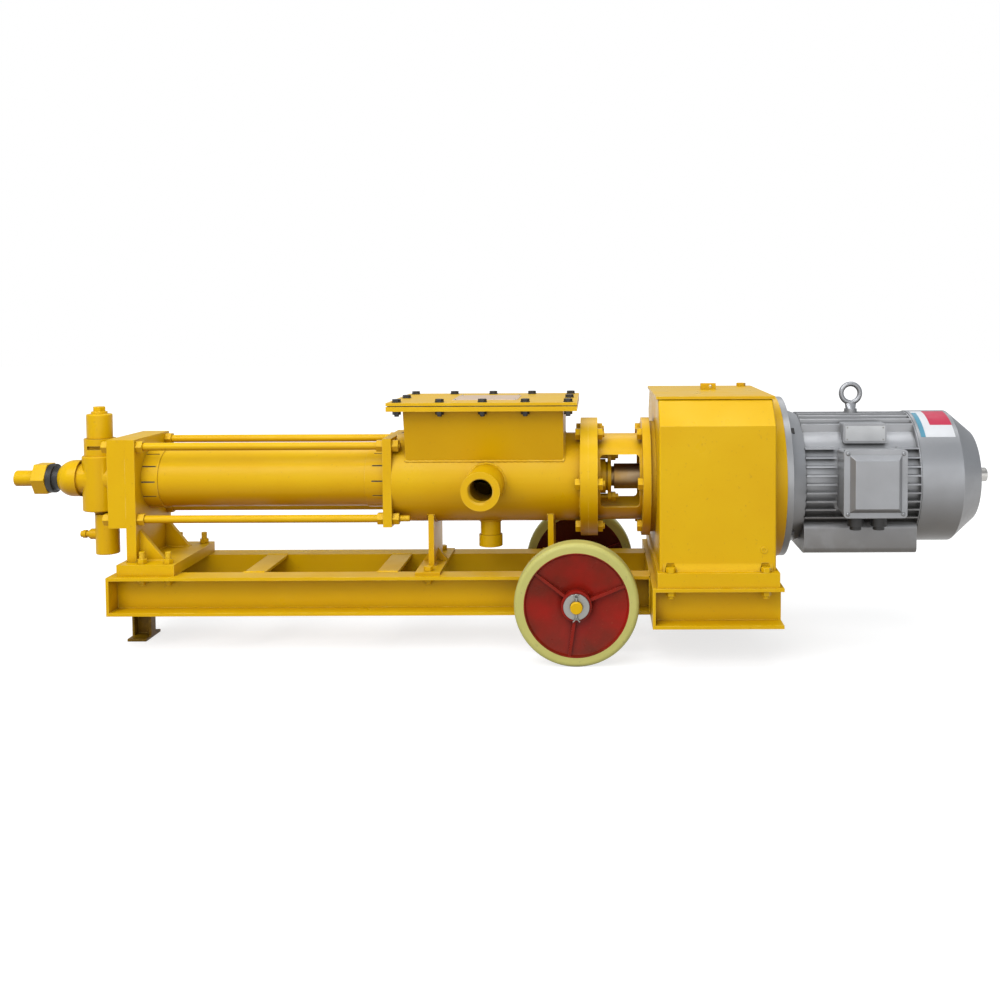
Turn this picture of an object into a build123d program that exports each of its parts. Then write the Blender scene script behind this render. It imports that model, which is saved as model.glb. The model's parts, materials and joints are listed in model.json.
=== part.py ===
from build123d import *
import os
from math import cos, pi, radians, sin

os.makedirs("parts", exist_ok=True)

# Progressive cavity pump on a two-wheeled trolley, in millimetres.
# +X runs from the discharge end to the motor, +Z is up and the ground is Z = 0.
# "Near" is the -Y side with the suction port, "far" is the +Y side.

# ---- Driving dimensions ----
axis_z = 357.0             # height of the pump, gearbox and motor axis
running_gap = 0.05         # radial clearance of a shaft that turns in its seat
free_gap = 0.3             # clearance between curved faces that only pass each other

# Chassis channels
chassis_bottom = 83.0
channel_height = 82.0
channel_flange = 50.0
channel_web = 6.0
channel_flange_thickness = 7.0
rail_inset = 35.0          # from the base plate's edge to the inner face of each rail's web
bolt_margin = 17.0         # from the base plate's edge to its bolts
rail_left = -822.0
rail_right = 323.0
cap_thickness = 6.0        # plates that close the open channel ends
cross_front_x = -524.5     # middle of the front cross channel
cross_rear_x = -238.0      # middle of the rear cross channel
cross_width = 45.0
base_right = 587.0         # right end of the wide base under the gearbox
base_inner_y = 196.0       # inner face of each base channel's web

# Leg, axle and wheels
leg_width = 42.0
leg_depth = 26.0
leg_wall = 5.0
foot_depth = 78.0
foot_thickness = 6.0
wheel_x = 170.0
wheel_radius = 127.0
wheel_inset = 45.0         # from the axle's end to the middle of the wheel
tyre_width = 46.0
tyre_inner_radius = 107.0
wheel_rim = 5.0
wheel_dish = 6.0           # half thickness of the disc at the hub
wheel_rib_width = 6.0
hub_radius = 31.0
hub_length = 58.0
wheel_ribs = 3
first_rib_angle = 22.0     # degrees above the horizontal
rim_step = 5.0             # from the rim's edge down to the disc
tyre_shoulder = 9.0
axle_chamfer = 1.5
axle_radius = 12.5
axle_length = 500.0
spacer_radius = 20.0
washer_radius = 26.5
washer_thickness = 5.0
pin_radius = 2.5
pin_reach = 21.0

# Discharge end
head_plate_left = -832.0
head_plate_thickness = 38.0
support_plate_thickness = 21.0
plate_size = 190.0         # side of the square end plates
support_plate_bottom = 189.0
base_plate_left = -805.0
base_plate_right = -683.0
base_plate_width = 244.0
base_stud_height = 25.0    # above the base plate
gusset_length = 53.0
gusset_height = 66.0
gusset_thickness = 12.0
gusset_y = 70.0
head_x = -889.0            # vertical axis of the discharge head
head_radius = 38.0
head_low = 286.0
head_high = 408.0
head_bore = 22.0
collar_radius = 33.0
collar_high = 446.0
valve_radius = 27.0
valve_high = 500.0
valve_cap_height = 16.0
valve_cap_radius = 17.0
valve_cap_flats = 24.0
valve_stem_radius = 9.0    # passage up to the relief valve
collar_slot_length = 30.0
collar_slot_height = 8.0
lower_valve_x = -877.0
lower_valve_radius = 25.0
lower_stem_radius = 15.0
lower_valve_low = 189.0
lower_valve_high = 279.0
nipple_z = 232.0
nipple_left = -935.0
nipple_radius = 7.0
nipple_ring_radius = 9.0
nipple_ring_width = 7.0
nipple_boss_radius = 12.0
nipple_bore = 4.0
dome_left = -974.0
dome_right = -929.0
dome_small_radius = 26.0
dome_large_radius = 40.5
dome_curve = 30.0          # length of the dome's rounded part
ring_left = -999.0
ring_radius = 32.0
union_left = -1028.0
union_flats = 65.0
spigot_left = -1075.0
spigot_radius = 17.5
spigot_bore = 12.0
spigot_collar_radius = 22.0    # collar of the spigot, held inside the union nut

# Stator, rotor and tie rods
stator_right = -245.0
stator_radius = 63.0
stator_wall = 6.0
stator_collar_radius = 65.5
left_collar_length = 35.0
right_collar_length = 45.0
collar_slots = 12
slot_width = 3.0
slot_length = 30.0
rotor_diameter = 50.0
eccentricity = 8.0         # from the stator axis to the rotor axis
rotor_pitch = 176.0        # one turn of the rotor; the stator's is twice this
liner_clearance = 0.6
rotor_left = -766.0
rotor_head_left = -238.0
rotor_head_right = -172.0
rotor_head_radius = 32.0
rotor_head_end = 8.0       # solid end of the rotor head, before its socket
tie_rod_radius = 8.5
tie_rod_offset = 78.5      # from the axis, along Y and along Z
tie_rod_tail = 36.0        # length past the tie plate
tie_nut_flats = 24.0
tie_nut_height = 14.0
tie_plate_thickness = 19.0
tie_plate_bore = 49.0

# Suction housing
housing_right = 177.0
housing_radius = 97.0
housing_wall = 8.0
flange_radius = 130.0
flange_thickness = 17.0
flange_bolts = 6
flange_pcd = 230.0
flange_bolt_radius = 7.0
flange_bolt_flats = 24.0
hopper_x = -27.5
hopper_margin = 30.0       # from the lid's edge to the hopper's wall
hopper_neck_width = 165.0
hopper_wall = 8.0
hopper_base_z = 392.0
hopper_flange_z = 514.0
hopper_flange_thickness = 10.0
lid_length = 398.0
lid_width = 290.0
lid_thickness = 6.0
gasket_thickness = 2.0
lid_bolt_inset_x = 19.0    # from the lid's edge to its bolts
lid_bolt_inset_y = 22.0
lid_bolt_radius = 5.0
lid_bolt_flats = 16.0
lid_bolt_head = 7.0
lid_nut_height = 8.0
lid_bolt_tail = 12.0       # length below the flange
gasket_inset = 3.0
port_x = -24.0
port_radius = 40.0
port_bore = 27.0
port_reach = 213.0         # from the axis to the port's mouth
port_weld = 5.0
port_root = 20.0           # how far the port and the drain start inside the housing
drain_radius = 22.5
drain_bore = 15.0
drain_cap_radius = 26.0
drain_cap_height = 26.0
drain_cap_end = 4.0
drain_low = 207.0
stand_front_x = -147.0
stand_rear_x = 112.0
stand_width = 130.0
stand_thickness = 12.0
stand_foot_width = 53.0
stand_foot_thickness = 6.0
stand_gusset_height = 30.0
chassis_bolt_radius = 6.0
chassis_bolt_flats = 18.0
chassis_nut_height = 10.0

# Coupling rod and drive shaft
rod_radius = 17.0
joint_ball_radius = 23.0
rod_left = -205.0          # middle of the joint ball in the rotor head
rod_right = 135.0          # middle of the joint ball in the drive shaft's head
shaft_head_left = 100.0
shaft_head_right = 170.0
shaft_radius = 22.0
shaft_collar_radius = 28.0
bearing_seat_radius = 25.0

# Lantern and stuffing box
lantern_radius = 95.0
lantern_wall = 9.0
lantern_flange_thickness = 20.0
lantern_right = 327.0
window_height = 114.0
window_margin = 6.0        # between the windows and the flanges
window_corner = 8.0
stuffing_radius = 38.0
stuffing_depth = 30.0
stuffing_bore = 32.0
packing_width = 8.0
gland_stud_offset = 45.0
gland_stud_radius = 6.0
gland_nut_flats = 19.0
gland_nut_height = 10.0
gland_plate_thickness = 8.0
gland_plate_width = 21.0
gland_lift = 4.0           # between the stuffing box and the gland's plate
packing_count = 3
bolt_tail = 15.0           # thread past each nut
bolt_head = 11.0

# Gearbox
gearbox_left = 338.0
gearbox_right = 574.0
gearbox_half_width = 222.0
gearbox_shoulder_z = 489.0
gearbox_top_z = 540.0
gearbox_top_half_width = 172.0
gearbox_wall = 10.0
end_wall = 14.0
gearbox_floor = 14.0
casting_radius = 4.0
foot_overhang = 18.0
foot_height = 30.0
foot_skirt = 17.0
spot_face_radius = 12.0    # cut round each foot bolt
gearbox_lid_thickness = 6.0
middle_wall_thickness = 20.0
drive_bearing_radius = 45.0
layshaft_bearing_radius = 36.0
layshaft_radius = 17.5
bearing_boss_length = 16.0
layshaft_boss_wall = 8.0
layshaft_bearing_width = 14.0
gear_module = 4.0
pinion_teeth = 19
wheel_teeth = 38
gear_width = 32.0
output_gear_gap = 22.0     # between the output gear and the middle wall
input_gear_gap = 42.0      # between the input gear and the motor's end of the casing
backlash = 0.3
lid_lug_y = 40.0
lid_lug_length = 34.0
lid_lug_width = 12.0
lid_lug_height = 14.0
lid_lug_hole = 3.5
filler_plug_inset = 22.0   # from the casing's end and from the edge of its top
filler_plug_flats = 19.0
filler_plug_height = 8.0

# Motor
adapter_radius = 176.0
adapter_length = 31.0
motor_flange_radius = 175.0
motor_flange_thickness = 14.0
shield_length = 32.0
frame_length = 239.0
frame_radius = 128.0
frame_wall = 8.0
fin_radius = 141.0
fin_pitch = 18.3
fin_thickness = 3.2
side_fins = 4              # to each side of the middle fin
pad_half_width = 112.0
pad_depth = 152.0
cover_radius = 143.0
cover_straight = 87.0
cover_cone = 51.0
cover_end_radius = 100.0
cover_sheet = 2.0
motor_shaft_radius = 19.0
shaft_end_x = 1075.0
shaft_end_radius = 15.5
core_bore = 75.0
air_gap = 1.0
terminal_x = 780.0
terminal_z = 367.0
terminal_length = 130.0
terminal_height = 141.0
terminal_depth = 192.0     # from the axis to the lid joint
terminal_lid_depth = 20.0
terminal_wall = 12.0
terminal_pocket = 45.0
terminal_draft = 10.0
terminal_corner = 8.0
terminal_lid_edge = 6.0    # straight edge of the lid, before its bevel
terminal_lid_bevel = 9.0
gland_radius = 17.0
gland_nose_radius = 12.0
gland_length = 22.0
gland_nose_length = 8.0
gland_x = (terminal_x - 32.0, terminal_x + 16.0)
core_inset = 65.0          # from the frame's ends to the stator core
winding_overhang = 28.0
winding_radius = 108.0
fan_blades = 7
fan_length = 34.0
fan_hub_radius = 30.0
fan_plate_radius = 70.0
fan_tip_radius = 108.0
cover_slots = 16
cover_slot_middle = 60.0
cover_slot_length = 54.0
cover_slot_width = 7.0
plate_z = 461.0            # middle of the pad for the motor's plate
plate_length = 92.0
plate_height = 42.0
plate_face = 108.0
eye_x = 774.0
eye_z = 539.0
eye_radius = 20.5
eye_wire = 5.5
eye_seat_radius = 14.0
eye_seat_height = 6.0
eye_boss_radius = 15.0
eye_neck_radius = 11.0

# ---- Values that follow from them ----
chassis_top = chassis_bottom + channel_height
bolt_seat = chassis_top - channel_flange_thickness
rail_inner_y = base_plate_width / 2 - rail_inset
head_plate_right = head_plate_left + head_plate_thickness
rotor_clear_radius = rotor_diameter / 2 + 2 * eccentricity + 2
support_plate_right = head_plate_right + support_plate_thickness
stator_left = support_plate_right
housing_left = stator_right + tie_plate_thickness
lantern_left = housing_right + flange_thickness
lantern_face = lantern_left + lantern_flange_thickness
lantern_flange_left = lantern_right - flange_thickness
stuffing_right = lantern_face + 18.0
hopper_length = lid_length - 2 * hopper_margin
hopper_top_width = lid_width - 2 * hopper_margin
hopper_inner_length = hopper_length - 2 * hopper_wall
lid_bolt_spacing_x = (lid_length / 2 - lid_bolt_inset_x) / 2
lid_bolt_spacing_y = lid_width / 2 - lid_bolt_inset_y
gasket_z = hopper_flange_z + hopper_flange_thickness
lid_z = gasket_z + gasket_thickness
lid_top_z = lid_z + lid_thickness
rotor_z = axis_z + eccentricity
adapter_right = gearbox_right + adapter_length
shield_left = adapter_right + motor_flange_thickness
frame_left = shield_left + shield_length
frame_right = frame_left + frame_length
cover_left = frame_right + 3.0
cover_crease = cover_left + cover_straight
cover_right = cover_crease + cover_cone
foot_bolt_x = (gearbox_left + 22.0, gearbox_right - 22.0)
foot_bolt_y = gearbox_half_width + 9.0
gearbox_middle = (gearbox_left + gearbox_right) / 2
middle_wall_left = gearbox_middle - middle_wall_thickness / 2
middle_wall_right = gearbox_middle + middle_wall_thickness / 2
output_gear_left = middle_wall_left - output_gear_gap - gear_width
input_gear_left = gearbox_right - input_gear_gap - gear_width
front_wall_right = gearbox_left + end_wall
front_boss_right = front_wall_right + bearing_boss_length
rear_wall_left = gearbox_right - end_wall
rear_boss_left = rear_wall_left - bearing_boss_length
layshaft_bearing_x = (front_wall_right + 2.0, rear_boss_left)
lid_lug_x = gearbox_middle + 7.0
filler_plug_x = gearbox_right - filler_plug_inset
filler_plug_y = gearbox_top_half_width - filler_plug_inset
centre_distance = gear_module * (pinion_teeth + wheel_teeth) / 2
wheel_z = wheel_radius


# ---- Shared shapes ----
def station(x, z=axis_z):
    """Plane across the pump at x: local x is +Y, local y is +Z, facing +X."""
    return Plane(origin=(x, 0, z), x_dir=(0, 1, 0), z_dir=(1, 0, 0))


def side_plane(y):
    """Plane along the pump at y: local x is +X, local y is +Z, facing -Y."""
    return Plane(origin=(0, y, 0), x_dir=(1, 0, 0), z_dir=(0, -1, 0))


def disc(left, right, radius, y=0.0, z=0.0, mode=Mode.ADD):
    """Round bar or hole along X, y and z measured from the pump axis."""
    with BuildSketch(station(left)) as circle:
        with Locations((y, z)):
            Circle(radius)
    extrude(circle.sketch, amount=right - left, mode=mode)


def upright(low, high, radius, x, y=0.0, mode=Mode.ADD):
    """Round bar or hole along Z."""
    with BuildSketch(Plane.XY.offset(low)) as circle:
        with Locations((x, y)):
            Circle(radius)
    extrude(circle.sketch, amount=high - low, mode=mode)


def crosswise(start, end, radius, x, z, mode=Mode.ADD):
    """Round bar or hole along Y, from start to end."""
    with BuildSketch(side_plane(start)) as circle:
        with Locations((x, z)):
            Circle(radius)
    extrude(circle.sketch, amount=start - end, mode=mode)


def hexagon(flats):
    """Hexagon across its flats, in the sketch that calls it."""
    RegularPolygon(radius=flats / 2, side_count=6, major_radius=False)


def channel_profile(web, reach, bottom):
    """Channel section with its web at local x = web and its flanges reaching out by reach."""
    side = 1 if reach > 0 else -1
    web_face = web + side * channel_web
    tip = web + reach
    top = bottom + channel_height
    low_face = bottom + channel_flange_thickness
    high_face = top - channel_flange_thickness
    with BuildLine() as outline:
        Polyline(
            (web, bottom), (tip, bottom), (tip, low_face), (web_face, low_face),
            (web_face, high_face), (tip, high_face), (tip, top), (web, top), close=True,
        )
    make_face(outline.edges())


base_stud_x = (-757.0, -701.0)
stand_x = (stand_front_x, stand_rear_x)
bolt_y = base_plate_width / 2 - bolt_margin


def bolt_places(columns, y=bolt_y):
    """Bolt centres at each x of columns, on both sides of the pump."""
    return [(x, side * y) for x in columns for side in (-1, 1)]


def long_channel(side, inner_y, left, right):
    """Channel along X that opens outwards, with a plate over its left end."""
    with BuildPart() as channel:
        with BuildSketch(station(left, 0)):
            channel_profile(side * inner_y, side * channel_flange, chassis_bottom)
        extrude(amount=right - left)
        with BuildSketch(station(left, 0)):
            with Locations((side * (inner_y + channel_flange / 2), chassis_bottom + channel_height / 2)):
                Rectangle(channel_flange, channel_height)
        extrude(amount=cap_thickness)
        if left < wheel_x < right:
            crosswise(axle_length, -axle_length, axle_radius + free_gap, wheel_x, wheel_z, Mode.SUBTRACT)
        for x, y in bolt_places(base_stud_x + stand_x):
            upright(bolt_seat, chassis_top, chassis_bolt_radius, x, y, Mode.SUBTRACT)
        for x, y in bolt_places(foot_bolt_x, foot_bolt_y):
            upright(bolt_seat, chassis_top, chassis_bolt_radius, x, y, Mode.SUBTRACT)
    return channel


def cross_channel_set(webs, reaches, half_length):
    """Channels along Y between the webs of the long ones."""
    with BuildPart() as channels:
        for web_x, reach in zip(webs, reaches):
            with BuildSketch(side_plane(half_length)):
                channel_profile(web_x, reach, chassis_bottom)
            extrude(amount=2 * half_length)
    return channels


# ---- Chassis ----
rail_near = long_channel(-1, rail_inner_y, rail_left, rail_right)
rail_far = long_channel(1, rail_inner_y, rail_left, rail_right)
cross_channels = cross_channel_set(
    (rail_left, cross_front_x - cross_width / 2, cross_rear_x - cross_width / 2),
    (channel_flange, cross_width, cross_width), rail_inner_y,
)
base_near = long_channel(-1, base_inner_y, rail_right, base_right)
base_far = long_channel(1, base_inner_y, rail_right, base_right)
base_cross_channels = cross_channel_set(
    (rail_right, base_right), (channel_flange, -channel_flange), base_inner_y,
)

with BuildPart() as leg:
    leg_x = rail_left + leg_width / 2
    with BuildSketch(Plane.XY):
        with Locations((leg_x, 0)):
            Rectangle(leg_width, foot_depth)
    extrude(amount=foot_thickness)
    with BuildSketch(Plane.XY.offset(foot_thickness)):
        with Locations((leg_x, 0)):
            Rectangle(leg_width, leg_depth)
        with Locations((leg_x, -leg_wall)):
            Rectangle(leg_width - 2 * leg_wall, leg_depth, mode=Mode.SUBTRACT)
    extrude(amount=chassis_bottom - foot_thickness)

# ---- Axle and wheels ----
axle_end = axle_length / 2
wheel_track = axle_length - 2 * wheel_inset
wheel_mid = wheel_track / 2
hub_inner = wheel_mid - hub_length / 2
hub_outer = wheel_mid + hub_length / 2
washer_outer = hub_outer + free_gap + washer_thickness
pin_y = washer_outer + free_gap + pin_radius

with BuildPart() as axle:
    crosswise(axle_end, -axle_end, axle_radius, wheel_x, wheel_z)
    for side in (-1, 1):
        upright(wheel_z - pin_reach, wheel_z + pin_reach, pin_radius, wheel_x, side * pin_y, Mode.SUBTRACT)
    chamfer(axle.edges().filter_by(GeomType.CIRCLE).group_by(Axis.Y)[0], axle_chamfer)
    chamfer(axle.edges().filter_by(GeomType.CIRCLE).group_by(Axis.Y)[-1], axle_chamfer)

with BuildPart() as axle_fittings:
    for side in (-1, 1):
        rings = (
            (rail_inner_y + channel_web, hub_inner - free_gap, spacer_radius),
            (hub_outer + free_gap, washer_outer, washer_radius),
        )
        for near_end, far_end, radius in rings:
            start = max(side * near_end, side * far_end)
            end = min(side * near_end, side * far_end)
            crosswise(start, end, radius, wheel_x, wheel_z)
            crosswise(start, end, axle_radius, wheel_x, wheel_z, Mode.SUBTRACT)
        upright(wheel_z - pin_reach, wheel_z + pin_reach, pin_radius, wheel_x, side * pin_y)


def wheel_centre(side):
    """Cast wheel centre: rim, dished disc, hub and ribs on both faces, turned about the axle."""
    middle = side * wheel_mid
    half = tyre_width / 2
    rim_inner = tyre_inner_radius - wheel_rim
    rib_middle = (hub_radius + rim_inner) / 2
    # Distance from the axle and half the thickness there, from the bore to the tyre
    section = (
        (axle_radius, hub_length / 2), (hub_radius, hub_length / 2), (hub_radius, wheel_dish),
        (rim_inner, half - rim_step), (rim_inner + 3, half), (tyre_inner_radius, half),
    )
    outline = [(wheel_x + reach, middle + thick) for reach, thick in section]
    outline += [(wheel_x + reach, middle - thick) for reach, thick in reversed(section)]
    with BuildPart() as centre:
        with BuildSketch(Plane.XY.offset(wheel_z)):
            with BuildLine():
                Polyline(*outline, close=True)
            make_face()
        revolve(axis=Axis((wheel_x, 0, wheel_z), (0, 1, 0)))
        with BuildSketch(side_plane(middle + half - 1)):
            with Locations((wheel_x, wheel_z)):
                for rib in range(wheel_ribs):
                    angle = first_rib_angle + 360 / wheel_ribs * rib
                    with Locations((rib_middle * cos(radians(angle)), rib_middle * sin(radians(angle)))):
                        Rectangle(rim_inner - hub_radius + 6, wheel_rib_width, rotation=angle)
        extrude(amount=tyre_width - 2)
        hub_bore = axle_radius + running_gap
        crosswise(middle + hub_length, middle - hub_length, hub_bore, wheel_x, wheel_z, Mode.SUBTRACT)
    return centre


def wheel_tyre(side):
    """Solid tyre with rounded shoulders, bonded round the wheel centre."""
    middle = side * wheel_mid
    with BuildPart() as tyre:
        crosswise(middle + tyre_width / 2, middle - tyre_width / 2, wheel_radius, wheel_x, wheel_z)
        shoulders = tyre.edges().filter_by(GeomType.CIRCLE)
        fillet(shoulders, tyre_shoulder)
        start = middle + tyre_width
        crosswise(start, start - 2 * tyre_width, tyre_inner_radius, wheel_x, wheel_z, Mode.SUBTRACT)
    return tyre


wheel_centre_near = wheel_centre(-1)
wheel_centre_far = wheel_centre(1)
tyre_near = wheel_tyre(-1)
tyre_far = wheel_tyre(1)

# ---- Discharge end ----
rod_places = [(y, z) for y in (-tie_rod_offset, tie_rod_offset) for z in (-tie_rod_offset, tie_rod_offset)]

with BuildPart() as head_plate:
    with BuildSketch(station(head_plate_left)):
        Rectangle(plate_size, plate_size)
        Circle(head_bore, mode=Mode.SUBTRACT)
        with Locations(*rod_places):
            Circle(tie_rod_radius, mode=Mode.SUBTRACT)
    extrude(amount=head_plate_thickness)

with BuildPart() as support_plate:
    with BuildSketch(station(head_plate_right)):
        low = support_plate_bottom - axis_z
        high = plate_size / 2
        with Locations((0, (low + high) / 2)):
            Rectangle(plate_size, high - low)
        Circle(rotor_clear_radius, mode=Mode.SUBTRACT)
        with Locations(*rod_places):
            Circle(tie_rod_radius, mode=Mode.SUBTRACT)
    extrude(amount=support_plate_thickness)
    for side in (-1, 1):
        with BuildSketch(side_plane(side * gusset_y + gusset_thickness / 2)):
            with BuildLine():
                Polyline(
                    (support_plate_right, support_plate_bottom),
                    (support_plate_right + gusset_length, support_plate_bottom),
                    (support_plate_right, support_plate_bottom + gusset_height), close=True,
                )
            make_face()
        extrude(amount=gusset_thickness)

with BuildPart() as base_plate:
    with BuildSketch(Plane.XY.offset(chassis_top)):
        with Locations(((base_plate_left + base_plate_right) / 2, 0)):
            Rectangle(base_plate_right - base_plate_left, base_plate_width)
        with Locations(*bolt_places(base_stud_x)):
            Circle(chassis_bolt_radius, mode=Mode.SUBTRACT)
    extrude(amount=support_plate_bottom - chassis_top)


def through_bolt(x, y, seat, tail):
    """Bolt with its head or top nut on the seat and a nut under the channel's flange."""
    upright(bolt_seat - chassis_nut_height - 6, seat + tail, chassis_bolt_radius, x, y)
    for low in (seat, bolt_seat - chassis_nut_height):
        with BuildSketch(Plane.XY.offset(low)) as nut:
            with Locations((x, y)):
                hexagon(chassis_bolt_flats)
        extrude(nut.sketch, amount=chassis_nut_height)


with BuildPart() as base_studs:
    for x, y in bolt_places(base_stud_x):
        through_bolt(x, y, support_plate_bottom, base_stud_height)

with BuildPart() as discharge_head:
    upright(head_low, head_high, head_radius, head_x)
    fillet(discharge_head.edges().filter_by(GeomType.CIRCLE), 3)
    disc(head_x, head_plate_left, head_radius - 4)
    disc(dome_right, head_x, dome_large_radius - 6)
    upright(lower_valve_high, head_low + 4, lower_stem_radius, head_x)
    upright(head_high - 1, collar_high, collar_radius, head_x)
    with BuildSketch(side_plane(-collar_radius - 1)):
        with Locations((head_x, (head_high + collar_high) / 2)):
            Rectangle(collar_slot_length, collar_slot_height)
    extrude(amount=-10, mode=Mode.SUBTRACT)
    disc(dome_right - 1, head_plate_left + 1, head_bore, mode=Mode.SUBTRACT)
    upright(lower_valve_high - 1, head_high + 1, valve_stem_radius, head_x, mode=Mode.SUBTRACT)

with BuildPart() as discharge_dome:
    with BuildSketch(Plane.XZ.offset(0)):
        with BuildLine():
            shoulder = (dome_left + dome_curve, axis_z + dome_large_radius)
            Polyline(
                (dome_right, axis_z + head_bore), (dome_left, axis_z + spigot_bore),
                (dome_left, axis_z + dome_small_radius),
            )
            TangentArc(shoulder, (dome_left, axis_z + dome_small_radius), tangent=(-1, 0))
            Polyline(shoulder, (dome_right, axis_z + dome_large_radius), (dome_right, axis_z + head_bore))
        make_face()
    revolve(axis=Axis((0, 0, axis_z), (1, 0, 0)))

with BuildPart() as dome_ring:
    middle_x = (ring_left + dome_left) / 2
    disc(ring_left, middle_x, ring_radius)
    disc(middle_x, dome_left, dome_small_radius)
    disc(ring_left, dome_left, spigot_bore, mode=Mode.SUBTRACT)

with BuildPart() as union_nut:
    with BuildSketch(station(union_left)):
        hexagon(union_flats)
    extrude(amount=ring_left - union_left)
    disc(union_left, ring_left, spigot_collar_radius, mode=Mode.SUBTRACT)

with BuildPart() as spigot:
    disc(spigot_left, union_left, spigot_radius)
    disc(union_left, ring_left, spigot_collar_radius)
    disc(spigot_left - 1, ring_left + 1, spigot_bore, mode=Mode.SUBTRACT)

with BuildPart() as relief_valve:
    upright(collar_high, valve_high, valve_radius, head_x)
    chamfer(relief_valve.edges().filter_by(GeomType.CIRCLE).sort_by(Axis.Z)[-1], 2)
    upright(valve_high, valve_high + valve_cap_height / 3, valve_cap_radius, head_x)
    with BuildSketch(Plane.XY.offset(valve_high + valve_cap_height / 3)):
        with Locations((head_x, 0)):
            hexagon(valve_cap_flats)
    extrude(amount=valve_cap_height * 2 / 3)

with BuildPart() as lower_valve:
    nipple_drop = nipple_z - axis_z
    upright(lower_valve_low, lower_valve_high, lower_valve_radius, lower_valve_x)
    fillet(lower_valve.edges().filter_by(GeomType.CIRCLE), 2)
    disc(nipple_left, lower_valve_x, nipple_radius, z=nipple_drop)
    for ring in (0, 1):
        ring_x = nipple_left + 5 + ring * (nipple_ring_width + 6)
        disc(ring_x, ring_x + nipple_ring_width, nipple_ring_radius, z=nipple_drop)
    disc(lower_valve_x - lower_valve_radius - 11, lower_valve_x, nipple_boss_radius, z=nipple_drop)
    disc(nipple_left, lower_valve_x, nipple_bore, z=nipple_drop, mode=Mode.SUBTRACT)

# ---- Stator and rotor ----
with BuildPart() as stator_tube:
    disc(stator_left, stator_right, stator_radius)
    disc(stator_left, stator_left + left_collar_length, stator_collar_radius)
    disc(stator_right - right_collar_length, stator_right, stator_collar_radius)
    for x, direction in ((stator_left, 1), (stator_right, -1)):
        with BuildSketch(station(x)):
            with PolarLocations(stator_collar_radius, collar_slots):
                Rectangle(6, slot_width)
        extrude(amount=direction * slot_length, mode=Mode.SUBTRACT)
    disc(stator_left, stator_right, stator_radius - stator_wall, mode=Mode.SUBTRACT)

with BuildPart() as stator_liner:
    disc(stator_left, stator_right, stator_radius - stator_wall)
    with BuildLine() as liner_guide:
        Helix(
            pitch=2 * rotor_pitch, height=stator_right - rotor_left, radius=eccentricity,
            center=(rotor_left, 0, axis_z), direction=(1, 0, 0),
        )
    with BuildSketch(station(rotor_left)):
        SlotCenterToCenter(4 * eccentricity, rotor_diameter + 2 * liner_clearance, rotation=90)
    sweep(path=liner_guide.line, is_frenet=True, mode=Mode.SUBTRACT)
    disc(stator_left, rotor_left, rotor_clear_radius, mode=Mode.SUBTRACT)

with BuildPart() as rotor:
    with BuildLine() as rotor_guide:
        Helix(
            pitch=rotor_pitch, height=rotor_head_left - rotor_left, radius=eccentricity,
            center=(rotor_left, 0, rotor_z), direction=(1, 0, 0),
        )
    with BuildSketch(Plane(origin=rotor_guide.line @ 0, x_dir=(0, 1, 0), z_dir=(1, 0, 0))):
        Circle(rotor_diameter / 2)
    sweep(path=rotor_guide.line, is_frenet=True)
    disc(rotor_head_left, rotor_head_right, rotor_head_radius, z=eccentricity)
    socket_left = rotor_head_left + rotor_head_end
    disc(socket_left, rotor_head_right, joint_ball_radius + free_gap, z=eccentricity, mode=Mode.SUBTRACT)

with BuildPart() as tie_plate:
    with BuildSketch(station(stator_right)):
        Rectangle(plate_size, plate_size)
        Circle(tie_plate_bore, mode=Mode.SUBTRACT)
        with Locations(*rod_places):
            Circle(tie_rod_radius, mode=Mode.SUBTRACT)
    extrude(amount=tie_plate_thickness)

with BuildPart() as tie_rods:
    for y, z in rod_places:
        tail = tie_rod_tail if z < 0 else tie_nut_height + 3
        disc(head_plate_left - tie_nut_height - 3, housing_left + tie_nut_height, tie_rod_radius, y, z)
        disc(housing_left + tie_nut_height, housing_left + tail, tie_rod_radius - 2, y, z)

with BuildPart() as tie_rod_nuts:
    head_nut_x = head_plate_left - tie_nut_height
    for x in (head_nut_x, support_plate_right, stator_right - tie_nut_height, housing_left):
        with BuildSketch(station(x)):
            with Locations(*rod_places):
                hexagon(tie_nut_flats)
                Circle(tie_rod_radius, mode=Mode.SUBTRACT)
        extrude(amount=tie_nut_height)

# ---- Suction housing ----
with BuildPart() as suction_housing:
    disc(housing_left, housing_right, housing_radius)
    disc(housing_right, lantern_left, flange_radius)
    crosswise(-housing_radius + port_root, -port_reach, port_radius, port_x, axis_z)
    fillet(suction_housing.edges().filter_by(GeomType.BSPLINE).sort_by(Axis.Y)[0], port_weld)
    upright(drain_low, axis_z - housing_radius + port_root, drain_radius, port_x)
    disc(housing_left, lantern_left, housing_radius - housing_wall, mode=Mode.SUBTRACT)
    crosswise(-housing_radius + port_root, -port_reach, port_bore, port_x, axis_z, Mode.SUBTRACT)
    upright(drain_low, axis_z - housing_radius + port_root, drain_bore, port_x, mode=Mode.SUBTRACT)
    with BuildSketch(Plane.XY.offset(axis_z)):
        with Locations((hopper_x, 0)):
            Rectangle(hopper_inner_length, hopper_neck_width - 2 * hopper_wall)
    extrude(amount=housing_radius, mode=Mode.SUBTRACT)
    with BuildSketch(station(housing_right)):
        with PolarLocations(flange_pcd / 2, flange_bolts):
            Circle(flange_bolt_radius)
    extrude(amount=flange_thickness, mode=Mode.SUBTRACT)

lid_bolt_places = [
    (hopper_x + column * lid_bolt_spacing_x, row * lid_bolt_spacing_y)
    for row in (-1, 0, 1) for column in (-2, -1, 0, 1, 2) if row != 0 or abs(column) == 2
]

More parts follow.
